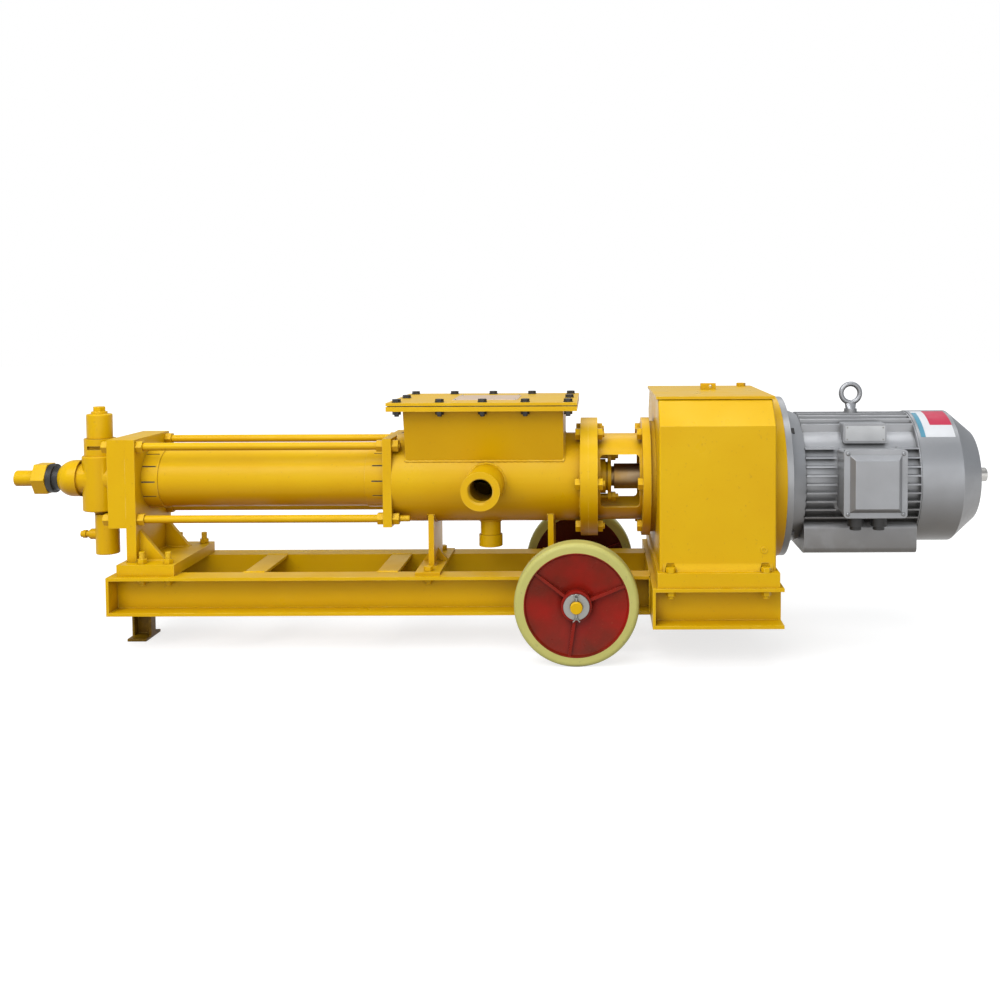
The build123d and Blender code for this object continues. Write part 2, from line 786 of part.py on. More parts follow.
with BuildPart() as hopper:
    with BuildSketch(Plane.XY.offset(hopper_base_z)):
        with Locations((hopper_x, 0)):
            Rectangle(hopper_length, hopper_neck_width)
    with BuildSketch(Plane.XY.offset(hopper_flange_z)):
        with Locations((hopper_x, 0)):
            Rectangle(hopper_length, hopper_top_width)
    loft()
    with BuildSketch(Plane.XY.offset(hopper_flange_z)):
        with Locations((hopper_x, 0)):
            Rectangle(lid_length, lid_width)
    extrude(amount=hopper_flange_thickness)
    with BuildSketch(Plane.XY.offset(hopper_base_z)):
        with Locations((hopper_x, 0)):
            Rectangle(hopper_inner_length, hopper_neck_width - 2 * hopper_wall)
    with BuildSketch(Plane.XY.offset(gasket_z)):
        with Locations((hopper_x, 0)):
            Rectangle(hopper_inner_length, hopper_top_width - 2 * hopper_wall)
    loft(mode=Mode.SUBTRACT)
    disc(housing_left, housing_right, housing_radius, mode=Mode.SUBTRACT)
    with BuildSketch(Plane.XY.offset(hopper_flange_z)):
        with Locations(*lid_bolt_places):
            Circle(lid_bolt_radius)
    extrude(amount=hopper_flange_thickness, mode=Mode.SUBTRACT)

with BuildPart() as hopper_gasket:
    with BuildSketch(Plane.XY.offset(gasket_z)):
        with Locations((hopper_x, 0)):
            Rectangle(lid_length - 2 * gasket_inset, lid_width - 2 * gasket_inset)
            Rectangle(hopper_inner_length, hopper_top_width - 2 * hopper_wall, mode=Mode.SUBTRACT)
        with Locations(*lid_bolt_places):
            Circle(lid_bolt_radius, mode=Mode.SUBTRACT)
    extrude(amount=gasket_thickness)

with BuildPart() as hopper_lid:
    with BuildSketch(Plane.XY.offset(lid_z)):
        with Locations((hopper_x, 0)):
            Rectangle(lid_length, lid_width)
        with Locations(*lid_bolt_places):
            Circle(lid_bolt_radius, mode=Mode.SUBTRACT)
    extrude(amount=lid_thickness)

with BuildPart() as lid_bolts:
    with BuildSketch(Plane.XY.offset(hopper_flange_z - lid_bolt_tail)):
        with Locations(*lid_bolt_places):
            Circle(lid_bolt_radius)
    extrude(amount=lid_top_z - hopper_flange_z + lid_bolt_tail)
    with BuildSketch(Plane.XY.offset(lid_top_z)):
        with Locations(*lid_bolt_places):
            hexagon(lid_bolt_flats)
    extrude(amount=lid_bolt_head)
    with BuildSketch(Plane.XY.offset(hopper_flange_z)):
        with Locations(*lid_bolt_places):
            hexagon(lid_bolt_flats)
    extrude(amount=-lid_nut_height)

with BuildPart() as drain_cap:
    cap_low = drain_low - drain_cap_end
    upright(cap_low, cap_low + drain_cap_height, drain_cap_radius, port_x)
    upright(drain_low, drain_low + drain_cap_height, drain_radius, port_x, mode=Mode.SUBTRACT)

with BuildPart() as housing_stands:
    plate_low = chassis_top + stand_foot_thickness
    for x in stand_x:
        with BuildSketch(Plane.XY.offset(chassis_top)):
            with Locations((x, 0)):
                Rectangle(stand_foot_width, base_plate_width)
            with Locations(*bolt_places((x,))):
                Circle(chassis_bolt_radius, mode=Mode.SUBTRACT)
        extrude(amount=stand_foot_thickness)
        with BuildSketch(station(x - stand_thickness / 2, 0)):
            with Locations((0, (plate_low + axis_z) / 2)):
                Rectangle(stand_width, axis_z - plate_low)
        extrude(amount=stand_thickness)
        with BuildSketch(side_plane(stand_thickness / 2)):
            with BuildLine():
                Polyline(
                    (x - stand_foot_width / 2, plate_low), (x + stand_foot_width / 2, plate_low),
                    (x + stand_thickness / 2, plate_low + stand_gusset_height),
                    (x - stand_thickness / 2, plate_low + stand_gusset_height), close=True,
                )
            make_face()
        extrude(amount=stand_thickness)
    disc(housing_left, housing_right, housing_radius, mode=Mode.SUBTRACT)

# ---- Coupling rod and drive shaft ----
with BuildPart() as coupling_rod:
    ball_left = Vector(rod_left, 0, rotor_z)
    ball_right = Vector(rod_right, 0, axis_z)
    rod_axis = ball_right - ball_left
    with BuildSketch(Plane(origin=ball_left, x_dir=(0, 1, 0), z_dir=rod_axis)):
        Circle(rod_radius)
    extrude(amount=rod_axis.length)
    with Locations(ball_left, ball_right):
        Sphere(joint_ball_radius)

with BuildPart() as drive_shaft:
    disc(shaft_head_left, shaft_head_right, rotor_head_radius)
    disc(shaft_head_left, rod_right + joint_ball_radius + 2, joint_ball_radius + free_gap, mode=Mode.SUBTRACT)
    disc(shaft_head_right, stuffing_right + 18, shaft_radius)
    disc(stuffing_right + 18, lantern_right - 3, shaft_collar_radius)
    disc(lantern_right - 3, middle_wall_left, bearing_seat_radius)
    disc(middle_wall_left, middle_wall_left + middle_wall_thickness, bearing_seat_radius - 3)

with BuildPart() as lantern:
    disc(lantern_left, lantern_face, flange_radius)
    disc(lantern_face, lantern_right, lantern_radius)
    disc(lantern_flange_left, lantern_right, flange_radius)
    disc(lantern_face, lantern_right, lantern_radius - lantern_wall, mode=Mode.SUBTRACT)
    disc(lantern_left, stuffing_right, stuffing_radius)
    disc(lantern_left, stuffing_right, shaft_radius + running_gap, mode=Mode.SUBTRACT)
    disc(stuffing_right - stuffing_depth, stuffing_right, stuffing_bore, mode=Mode.SUBTRACT)
    window_length = lantern_flange_left - lantern_face - 2 * window_margin
    window_depth = flange_radius - stuffing_radius - 6
    window_middle = (lantern_face + lantern_flange_left) / 2
    for start in (flange_radius, window_depth - flange_radius):
        with BuildSketch(side_plane(start)):
            with Locations((window_middle, axis_z)):
                RectangleRounded(window_length, window_height, window_corner)
        extrude(amount=window_depth, mode=Mode.SUBTRACT)
    with BuildSketch(station(lantern_left)):
        with PolarLocations(flange_pcd / 2, flange_bolts):
            Circle(flange_bolt_radius)
        with Locations((0, -gland_stud_offset), (0, gland_stud_offset)):
            Circle(gland_stud_radius)
    extrude(amount=lantern_flange_thickness, mode=Mode.SUBTRACT)
    with BuildSketch(station(lantern_flange_left)):
        with PolarLocations(flange_pcd / 2, flange_bolts):
            Circle(flange_bolt_radius)
    extrude(amount=flange_thickness, mode=Mode.SUBTRACT)

packing_left = stuffing_right - stuffing_depth

with BuildPart() as packing_rings:
    disc(packing_left, packing_left + packing_count * packing_width, stuffing_bore)
    disc(packing_left, stuffing_right, shaft_radius + running_gap, mode=Mode.SUBTRACT)

gland_left = packing_left + packing_count * packing_width
gland_face = stuffing_right + gland_lift

with BuildPart() as gland_follower:
    disc(gland_left, gland_face, stuffing_bore - 0.2)
    with BuildSketch(station(gland_face)):
        Circle(stuffing_radius - 2)
        SlotCenterToCenter(2 * gland_stud_offset, gland_plate_width, rotation=90)
    extrude(amount=gland_plate_thickness)
    disc(gland_left, gland_face + gland_plate_thickness, shaft_radius + free_gap, mode=Mode.SUBTRACT)
    with BuildSketch(station(gland_face)):
        with Locations((0, -gland_stud_offset), (0, gland_stud_offset)):
            Circle(gland_stud_radius)
    extrude(amount=gland_plate_thickness, mode=Mode.SUBTRACT)

with BuildPart() as lantern_bolts:
    with BuildSketch(station(housing_right - bolt_head)):
        with PolarLocations(flange_pcd / 2, flange_bolts):
            hexagon(flange_bolt_flats)
    extrude(amount=bolt_head)
    with BuildSketch(station(lantern_face)):
        with PolarLocations(flange_pcd / 2, flange_bolts):
            hexagon(flange_bolt_flats)
    extrude(amount=bolt_head)
    with BuildSketch(station(housing_right)):
        with PolarLocations(flange_pcd / 2, flange_bolts):
            Circle(flange_bolt_radius)
    extrude(amount=lantern_face - housing_right + bolt_tail)
    with BuildSketch(station(lantern_flange_left)):
        with PolarLocations(flange_pcd / 2, flange_bolts):
            hexagon(flange_bolt_flats)
    extrude(amount=-bolt_head)
    with BuildSketch(station(lantern_flange_left)):
        with PolarLocations(flange_pcd / 2, flange_bolts):
            Circle(flange_bolt_radius)
    extrude(amount=flange_thickness)
    for z in (-gland_stud_offset, gland_stud_offset):
        disc(lantern_left + 4, gland_face + 24, gland_stud_radius, z=z)
        with BuildSketch(station(gland_face + gland_plate_thickness)):
            with Locations((0, z)):
                hexagon(gland_nut_flats)
        extrude(amount=gland_nut_height)

# ---- Gearbox ----
foot_z = chassis_top + foot_height


def gearbox_profile(inset):
    """Half-octagon section of the casing, drawn from the ground up, moved inwards by inset."""
    low = chassis_top + gearbox_floor if inset else chassis_top
    with BuildLine() as outline:
        Polyline(
            (-gearbox_half_width + inset, low), (gearbox_half_width - inset, low),
            (gearbox_half_width - inset, gearbox_shoulder_z - inset / 2),
            (gearbox_top_half_width - inset / 2, gearbox_top_z),
            (-gearbox_top_half_width + inset / 2, gearbox_top_z),
            (-gearbox_half_width + inset, gearbox_shoulder_z - inset / 2), close=True,
        )
    make_face(outline.edges())


with BuildPart() as gearbox_housing:
    with BuildSketch(station(gearbox_left, 0)):
        gearbox_profile(0)
    extrude(amount=gearbox_right - gearbox_left)
    end_edges = gearbox_housing.faces().filter_by(Axis.X).edges().group_by(Axis.Z)[1:]
    fillet([edge for level in end_edges for edge in level], casting_radius)
    with BuildSketch(Plane.XY.offset(chassis_top)):
        with Locations((gearbox_middle, 0)):
            Rectangle(gearbox_right - gearbox_left + 10, 2 * (gearbox_half_width + foot_overhang))
    extrude(amount=foot_height)
    with BuildSketch(station(gearbox_left + 8, 0)):
        with BuildLine():
            skirt = gearbox_half_width + 5
            Polyline(
                (-skirt, foot_z), (skirt, foot_z), (gearbox_half_width, foot_z + foot_skirt),
                (-gearbox_half_width, foot_z + foot_skirt), close=True,
            )
        make_face()
    extrude(amount=gearbox_right - gearbox_left - 16)
    for left, right in (
        (front_wall_right, middle_wall_left), (middle_wall_right, rear_wall_left),
    ):
        with BuildSketch(station(left, 0)):
            gearbox_profile(gearbox_wall)
        extrude(amount=right - left, mode=Mode.SUBTRACT)
    disc(gearbox_right - 1, adapter_right, adapter_radius)
    disc(gearbox_right, adapter_right, adapter_radius - 26, mode=Mode.SUBTRACT)
    disc(lantern_right, gearbox_left, flange_radius - 8)
    for x, y in bolt_places(foot_bolt_x, foot_bolt_y):
        upright(chassis_top, foot_z, chassis_bolt_radius, x, y, Mode.SUBTRACT)
        upright(foot_z, foot_z + foot_skirt, spot_face_radius, x, y, Mode.SUBTRACT)
    layshaft_boss = layshaft_bearing_radius + layshaft_boss_wall
    disc(gearbox_left, front_boss_right, drive_bearing_radius + 10)
    disc(front_wall_right, front_boss_right, layshaft_boss, y=centre_distance)
    disc(rear_boss_left, rear_wall_left, layshaft_boss, y=centre_distance)
    disc(lantern_right, gearbox_left + 20, drive_bearing_radius, mode=Mode.SUBTRACT)
    disc(lantern_right, middle_wall_left, bearing_seat_radius + 5, mode=Mode.SUBTRACT)
    disc(middle_wall_left, middle_wall_right, drive_bearing_radius, mode=Mode.SUBTRACT)
    disc(rear_wall_left, gearbox_right, drive_bearing_radius + 1, mode=Mode.SUBTRACT)
    for left in layshaft_bearing_x:
        right = left + layshaft_bearing_width
        disc(left, right, layshaft_bearing_radius, y=centre_distance, mode=Mode.SUBTRACT)
    disc(middle_wall_left, middle_wall_right, layshaft_radius + 8, y=centre_distance, mode=Mode.SUBTRACT)

with BuildPart() as gearbox_lid:
    with BuildSketch(Plane.XY.offset(gearbox_top_z)):
        with Locations((gearbox_middle, 0)):
            Rectangle(gearbox_right - gearbox_left + 8, 2 * gearbox_top_half_width + 8)
    extrude(amount=gearbox_lid_thickness)
    with BuildSketch(Plane.XY.offset(gearbox_top_z + gearbox_lid_thickness)):
        with Locations((lid_lug_x, lid_lug_y)):
            Rectangle(lid_lug_length, lid_lug_width)
    extrude(amount=lid_lug_height)
    lug_middle_z = gearbox_top_z + gearbox_lid_thickness + lid_lug_height / 2
    crosswise(lid_lug_y + 20, lid_lug_y - 20, lid_lug_hole, lid_lug_x + 5, lug_middle_z, Mode.SUBTRACT)
    with BuildSketch(Plane.XY.offset(gearbox_top_z + gearbox_lid_thickness)):
        with Locations((filler_plug_x, filler_plug_y)):
            hexagon(filler_plug_flats)
    extrude(amount=filler_plug_height)

with BuildPart() as mounting_bolts:
    for x, y in bolt_places(stand_x):
        through_bolt(x, y, chassis_top + stand_foot_thickness, chassis_nut_height)
    for x, y in bolt_places(foot_bolt_x, foot_bolt_y):
        through_bolt(x, y, foot_z, chassis_nut_height)

# Each ring: left face, width, outer radius, shaft radius and distance of its axis from the pump's
bearing_rings = (
    (lantern_right, 8.0, drive_bearing_radius, bearing_seat_radius, 0.0),
    (gearbox_left - 2, 20.0, drive_bearing_radius, bearing_seat_radius, 0.0),
    (middle_wall_left, middle_wall_thickness, drive_bearing_radius, bearing_seat_radius - 3, 0.0),
    (rear_wall_left, end_wall, drive_bearing_radius + 1, motor_shaft_radius, 0.0),
    (shield_left - 4, 20.0, drive_bearing_radius, motor_shaft_radius, 0.0),
    (frame_right - 2, 20.0, drive_bearing_radius, motor_shaft_radius, 0.0),
)
layshaft_ring = (layshaft_bearing_width, layshaft_bearing_radius, layshaft_radius, centre_distance)
bearing_rings += tuple((left,) + layshaft_ring for left in layshaft_bearing_x)

with BuildPart() as shaft_bearings:
    for left, width, outer, inner, y in bearing_rings:
        disc(left, left + width, outer, y)
        disc(left, left + width, inner + running_gap, y, mode=Mode.SUBTRACT)


def gear_profile(teeth, first_angle):
    """Spur gear outline with flanks drawn as two straight lines each, and working backlash."""
    pitch_radius = gear_module * teeth / 2
    root_radius = pitch_radius - 1.2 * gear_module
    tip_radius = pitch_radius + 0.9 * gear_module
    half_tooth = pi * gear_module / 4 - backlash
    steps = (
        (root_radius, -1.22), (pitch_radius, -1.0), (tip_radius, -0.5),
        (tip_radius, 0.5), (pitch_radius, 1.0), (root_radius, 1.22),
    )
    points = []
    for tooth in range(teeth):
        centre = radians(first_angle) + 2 * pi * tooth / teeth
        for radius, share in steps:
            angle = centre + share * half_tooth / radius
            points.append((radius * cos(angle), radius * sin(angle)))
    with BuildLine() as outline:
        Polyline(*points, close=True)
    make_face(outline.edges())


def gear(left, width, teeth, first_angle, bore, y=0.0):
    """Gear along X in the part that calls it."""
    plane = Plane(origin=(left, y, axis_z), x_dir=(0, 1, 0), z_dir=(1, 0, 0))
    with BuildSketch(plane) as blank:
        gear_profile(teeth, first_angle)
        if bore:
            Circle(bore, mode=Mode.SUBTRACT)
    extrude(blank.sketch, amount=width)


half_pitch_angle = 180.0 / wheel_teeth

with BuildPart() as output_gear:
    gear(output_gear_left, gear_width, wheel_teeth, half_pitch_angle, bearing_seat_radius)

with BuildPart() as layshaft:
    shaft_start = front_wall_right + 2
    shaft_end = rear_wall_left - 2
    gear(output_gear_left - 3, gear_width + 6, pinion_teeth, 180, 0, y=centre_distance)
    disc(shaft_start, shaft_end, layshaft_radius, y=centre_distance)

with BuildPart() as layshaft_gear:
    gear(input_gear_left, gear_width, wheel_teeth, 180 + half_pitch_angle, layshaft_radius, y=centre_distance)

# ---- Motor ----
core_left = frame_left + core_inset
core_right = frame_right - core_inset
fan_left = frame_right + 28

with BuildPart() as motor_rotor:
    gear(input_gear_left - 3, gear_width + 6, pinion_teeth, 0, 0)
    disc(input_gear_left - 6, frame_left, motor_shaft_radius)
    disc(frame_left, frame_right - 5, motor_shaft_radius + 5)
    disc(core_left, core_right, core_bore - air_gap)
    disc(frame_right - 5, fan_left, motor_shaft_radius)
    disc(fan_left, shaft_end_x, shaft_end_radius)
    chamfer(motor_rotor.edges().filter_by(GeomType.CIRCLE).sort_by(Axis.X)[-1], 1)

with BuildPart() as end_shields:
    disc(adapter_right, shield_left, motor_flange_radius)
    with BuildSketch(Plane.XZ):
        with BuildLine():
            Polyline(
                (shield_left, axis_z + 40), (shield_left, axis_z + fin_radius + 9),
                (frame_left, axis_z + fin_radius - 3), (frame_left, axis_z + 40), close=True,
            )
        make_face()
    revolve(axis=Axis((0, 0, axis_z), (1, 0, 0)))
    disc(shield_left, frame_left, frame_radius - frame_wall, mode=Mode.SUBTRACT)
    disc(adapter_right, frame_left - 4, 58)
    disc(adapter_right, frame_left, motor_shaft_radius + 8, mode=Mode.SUBTRACT)
    disc(shield_left - 4, frame_left - 4, drive_bearing_radius, mode=Mode.SUBTRACT)
    disc(frame_right, frame_right + 8, cover_radius - cover_sheet)
    disc(frame_right - 2, frame_right + 20, drive_bearing_radius + 10)
    disc(frame_right - 2, frame_right + 18, drive_bearing_radius, mode=Mode.SUBTRACT)
    disc(frame_right, frame_right + 20, motor_shaft_radius + 3, mode=Mode.SUBTRACT)

with BuildPart() as motor_frame:
    with BuildSketch(station(frame_left)):
        for step in range(-side_fins, side_fins + 1):
            with Locations((0, step * fin_pitch)):
                Rectangle(2 * fin_radius, fin_thickness)
            with Locations((step * fin_pitch, fin_radius / 2)):
                Rectangle(fin_thickness, fin_radius)
        Circle(fin_radius, mode=Mode.INTERSECT)
        with Locations((0, -(pad_depth + 85) / 2)):
            RectangleRounded(2 * pad_half_width, pad_depth - 85, 14)
    extrude(amount=frame_length)
    with BuildSketch(side_plane(-frame_radius / 2)):
        with Locations((terminal_x, terminal_z)):
            Rectangle(terminal_length + 2 * free_gap, terminal_height + 2 * free_gap)
    extrude(amount=frame_radius, mode=Mode.SUBTRACT)
    with BuildSketch(side_plane(-frame_radius / 2)):
        with Locations((terminal_x, plate_z)):
            RectangleRounded(plate_length, plate_height, 4)
    extrude(amount=plate_face - frame_radius / 2)
    disc(frame_left, frame_right, frame_radius)
    disc(frame_left, frame_right, frame_radius - frame_wall, mode=Mode.SUBTRACT)
    upright(axis_z + frame_radius - 2, axis_z + fin_radius + 1, eye_boss_radius, eye_x)

with BuildPart() as motor_stator:
    winding_left = core_left - winding_overhang
    winding_right = core_right + winding_overhang
    disc(winding_left, winding_right, winding_radius)
    disc(core_left, core_right, frame_radius - frame_wall)
    disc(winding_left, winding_right, core_bore + 6, mode=Mode.SUBTRACT)
    disc(core_left, core_right, core_bore + 6)
    disc(winding_left, winding_right, core_bore, mode=Mode.SUBTRACT)

with BuildPart() as cooling_fan:
    disc(fan_left, fan_left + fan_length, fan_hub_radius)
    disc(fan_left, fan_left + 5, fan_plate_radius)
    with BuildSketch(station(fan_left)):
        with PolarLocations((fan_hub_radius + fan_tip_radius) / 2, fan_blades):
            Rectangle(fan_tip_radius - fan_hub_radius + 4, 4)
    extrude(amount=fan_length - 4)
    disc(fan_left, fan_left + fan_length, shaft_end_radius, mode=Mode.SUBTRACT)

with BuildPart() as fan_cover:
    with BuildSketch(Plane.XZ):
        with BuildLine():
            Polyline(
                (cover_left, axis_z + cover_radius), (cover_crease, axis_z + cover_radius),
                (cover_right, axis_z + cover_end_radius), (cover_right, axis_z + shaft_end_radius + 4),
                (cover_right - cover_sheet, axis_z + shaft_end_radius + 4),
                (cover_right - cover_sheet, axis_z + cover_end_radius - 1),
                (cover_crease - 1, axis_z + cover_radius - cover_sheet),
                (cover_left, axis_z + cover_radius - cover_sheet), close=True,
            )
        make_face()
    revolve(axis=Axis((0, 0, axis_z), (1, 0, 0)))
    with BuildSketch(station(cover_right - 6)):
        with PolarLocations(cover_slot_middle, cover_slots):
            Rectangle(cover_slot_length, cover_slot_width)
    extrude(amount=12, mode=Mode.SUBTRACT)

with BuildPart() as terminal_box:
    root_length = terminal_length - terminal_draft
    root_height = terminal_height - terminal_draft
    with BuildSketch(side_plane(terminal_wall - frame_radius)):
        with Locations((terminal_x, terminal_z)):
            RectangleRounded(root_length, root_height, terminal_corner)
    with BuildSketch(side_plane(-terminal_depth)):
        with Locations((terminal_x, terminal_z)):
            RectangleRounded(terminal_length, terminal_height, terminal_corner)
    loft()
    disc(frame_left, frame_right, frame_radius, mode=Mode.SUBTRACT)
    with BuildSketch(side_plane(-terminal_depth)):
        with Locations((terminal_x, terminal_z)):
            Rectangle(terminal_length - 2 * terminal_wall, terminal_height - 2 * terminal_wall)
    extrude(amount=-terminal_pocket, mode=Mode.SUBTRACT)

with BuildPart() as terminal_lid:
    bevel_length = terminal_length - 2 * terminal_wall
    bevel_height = terminal_height - 2 * terminal_wall
    with BuildSketch(side_plane(-terminal_depth)):
        with Locations((terminal_x, terminal_z)):
            RectangleRounded(terminal_length, terminal_height, terminal_corner)
    extrude(amount=terminal_lid_edge)
    with BuildSketch(side_plane(-terminal_depth - terminal_lid_edge)):
        with Locations((terminal_x, terminal_z)):
            Rectangle(bevel_length, bevel_height)
    with BuildSketch(side_plane(-terminal_depth - terminal_lid_depth)):
        with Locations((terminal_x, terminal_z)):
            Rectangle(bevel_length - 2 * terminal_lid_bevel, bevel_height - 2 * terminal_lid_bevel)
    loft()

with BuildPart() as cable_glands:
    gland_top = terminal_z - terminal_height / 2
    gland_y = -terminal_depth + terminal_pocket - terminal_wall - 1
    gland_low = gland_top - gland_length
    for x in gland_x:
        upright(gland_low, gland_top, gland_radius, x, gland_y)
        upright(gland_low - gland_nose_length, gland_low, gland_nose_radius, x, gland_y)

with BuildPart() as lifting_eye:
    eye_seat = axis_z + fin_radius + 1
    upright(eye_seat, eye_seat + eye_seat_height, eye_seat_radius, eye_x)
    with BuildSketch(Plane.XY.offset(eye_seat + eye_seat_height)):
        with Locations((eye_x, 0)):
            Circle(eye_neck_radius)
    with BuildSketch(Plane.XY.offset(eye_z - eye_radius)):
        with Locations((eye_x, 0)):
            Ellipse(13, 5)
    loft()
    with BuildSketch(Plane.XY.offset(eye_z)):
        with Locations((eye_x + eye_radius, 0)):
            Circle(eye_wire)
    revolve(axis=Axis((eye_x, 0, eye_z), (0, 1, 0)))

# ---- Files ----
pieces = {
    "rail_near": rail_near, "rail_far": rail_far, "cross_channels": cross_channels,
    "base_channel_near": base_near, "base_channel_far": base_far,
    "base_cross_channels": base_cross_channels, "leg": leg, "axle": axle,
    "axle_fittings": axle_fittings, "wheel_centre_near": wheel_centre_near,
    "wheel_centre_far": wheel_centre_far, "tyre_near": tyre_near, "tyre_far": tyre_far,
    "head_plate": head_plate, "support_plate": support_plate, "base_plate": base_plate,
    "base_studs": base_studs, "discharge_head": discharge_head, "discharge_dome": discharge_dome,
    "dome_ring": dome_ring, "union_nut": union_nut, "spigot": spigot, "relief_valve": relief_valve,
    "lower_valve": lower_valve, "stator_tube": stator_tube, "stator_liner": stator_liner,
    "rotor": rotor, "tie_plate": tie_plate, "tie_rods": tie_rods, "tie_rod_nuts": tie_rod_nuts,
    "suction_housing": suction_housing, "hopper": hopper, "hopper_gasket": hopper_gasket,
    "hopper_lid": hopper_lid, "lid_bolts": lid_bolts, "drain_cap": drain_cap,
    "housing_stands": housing_stands,
    "mounting_bolts": mounting_bolts, "coupling_rod": coupling_rod, "drive_shaft": drive_shaft,
    "lantern": lantern, "packing_rings": packing_rings, "gland_follower": gland_follower,
    "lantern_bolts": lantern_bolts, "gearbox_housing": gearbox_housing, "gearbox_lid": gearbox_lid,
    "shaft_bearings": shaft_bearings, "output_gear": output_gear, "layshaft": layshaft,
    "layshaft_gear": layshaft_gear, "motor_rotor": motor_rotor, "end_shields": end_shields,
    "motor_frame": motor_frame, "motor_stator": motor_stator, "cooling_fan": cooling_fan,
    "fan_cover": fan_cover, "terminal_box": terminal_box, "terminal_lid": terminal_lid,
    "cable_glands": cable_glands, "lifting_eye": lifting_eye,
}
for name, piece in pieces.items():
    piece.part.label = name
    export_step(piece.part, f"parts/{name}.step")
print(len(pieces), "pieces")
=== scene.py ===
import json
from math import asin, ceil, cos, pi, radians, sin, sqrt

import bmesh
import bpy
from mathutils import Matrix, Vector


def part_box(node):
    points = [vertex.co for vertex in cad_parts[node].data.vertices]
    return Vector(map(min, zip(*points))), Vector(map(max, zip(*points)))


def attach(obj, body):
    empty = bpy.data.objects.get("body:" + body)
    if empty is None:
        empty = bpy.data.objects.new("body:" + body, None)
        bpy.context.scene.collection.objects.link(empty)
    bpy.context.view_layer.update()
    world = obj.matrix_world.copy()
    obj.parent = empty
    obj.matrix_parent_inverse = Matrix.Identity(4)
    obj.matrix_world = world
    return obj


# Looks of the progressive cavity pump, in metres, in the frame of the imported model.
# +X runs from the discharge end to the motor, +Z is up, and -Y is the side with the suction port.

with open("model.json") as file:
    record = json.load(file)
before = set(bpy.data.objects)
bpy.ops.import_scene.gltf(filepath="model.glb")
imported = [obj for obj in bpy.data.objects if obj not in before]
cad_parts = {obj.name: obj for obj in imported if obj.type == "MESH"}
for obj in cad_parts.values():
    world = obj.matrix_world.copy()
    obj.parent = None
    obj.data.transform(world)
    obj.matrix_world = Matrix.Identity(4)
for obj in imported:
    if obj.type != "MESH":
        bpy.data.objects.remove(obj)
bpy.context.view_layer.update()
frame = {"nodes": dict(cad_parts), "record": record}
nodes = frame["nodes"]

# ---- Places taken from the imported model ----
housing_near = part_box("suction_housing")[0].y
lid_low, lid_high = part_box("hopper_lid")
tube_low, tube_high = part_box("stator_tube")
rail_low, rail_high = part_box("rail_near")
far_rail_low, far_rail_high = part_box("rail_far")
base_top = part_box("base_plate")[1].z
support_low, support_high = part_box("support_plate")
leg_low, leg_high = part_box("leg")
gearbox_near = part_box("gearbox_housing")[0].y
cover_low, cover_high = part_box("fan_cover")
box_low, box_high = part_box("terminal_box")
box_lid_low, box_lid_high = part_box("terminal_lid")
shield_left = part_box("end_shields")[0].x
rods_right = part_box("tie_rods")[1].x
wheel_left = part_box("wheel_centre_near")[0].x
drain_low, drain_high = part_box("drain_cap")

axis_z = (tube_low.z + tube_high.z) / 2
cover_radius = (cover_high.z - cover_low.z) / 2
port_x = (drain_low.x + drain_high.x) / 2

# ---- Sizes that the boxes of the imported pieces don't give ----
housing_radius = 0.097
port_radius = 0.040
port_bore = 0.027
drain_radius = 0.0225
hopper_margin = 0.030          # from the lid's end to the hopper's end wall
neck_half_width = 0.0857
flange_left = 0.177            # face of the housing's flange towards the hopper
stand_middles = (-0.147, 0.112)
stand_thickness = 0.012
stand_foot = 0.006
stand_half_width = 0.065
cross_channel_lefts = (rail_low.x + 0.006, -0.547, -0.2605)
cross_channel_width = 0.045
leg_half_width = 0.013
support_thickness = 0.021
gusset_faces = (-0.076, -0.064, 0.064, 0.076)
lid_bolt_spacing = 0.090
lid_bolt_row = 0.123
tie_rod_offset = 0.0785
tie_rod_tail_radius = 0.0065
stud_columns = (-0.757, -0.701)
stud_rows = (-0.105, 0.105)
stud_radius = 0.006
axle_inset = 0.107             # from the wheel centre's left edge to the axle
pin_tail_z = 0.108
pin_eye_z = 0.1495
motor_flat_y = -0.108          # flat on the motor frame that carries its plate

lid_plate_x = (-0.098, 0.042)
lid_plate_y = (-0.0720, 0.0700)
motor_plate_x = (0.738, 0.822)
motor_plate_z = (0.4445, 0.4775)

sharp_angle = radians(38)      # edges sharper than this are rounded
smooth_angle = radians(40)     # faces that meet at less than this are shaded as one
upward = (0, 0, 1)
towards_viewer = (0, -1, 0)


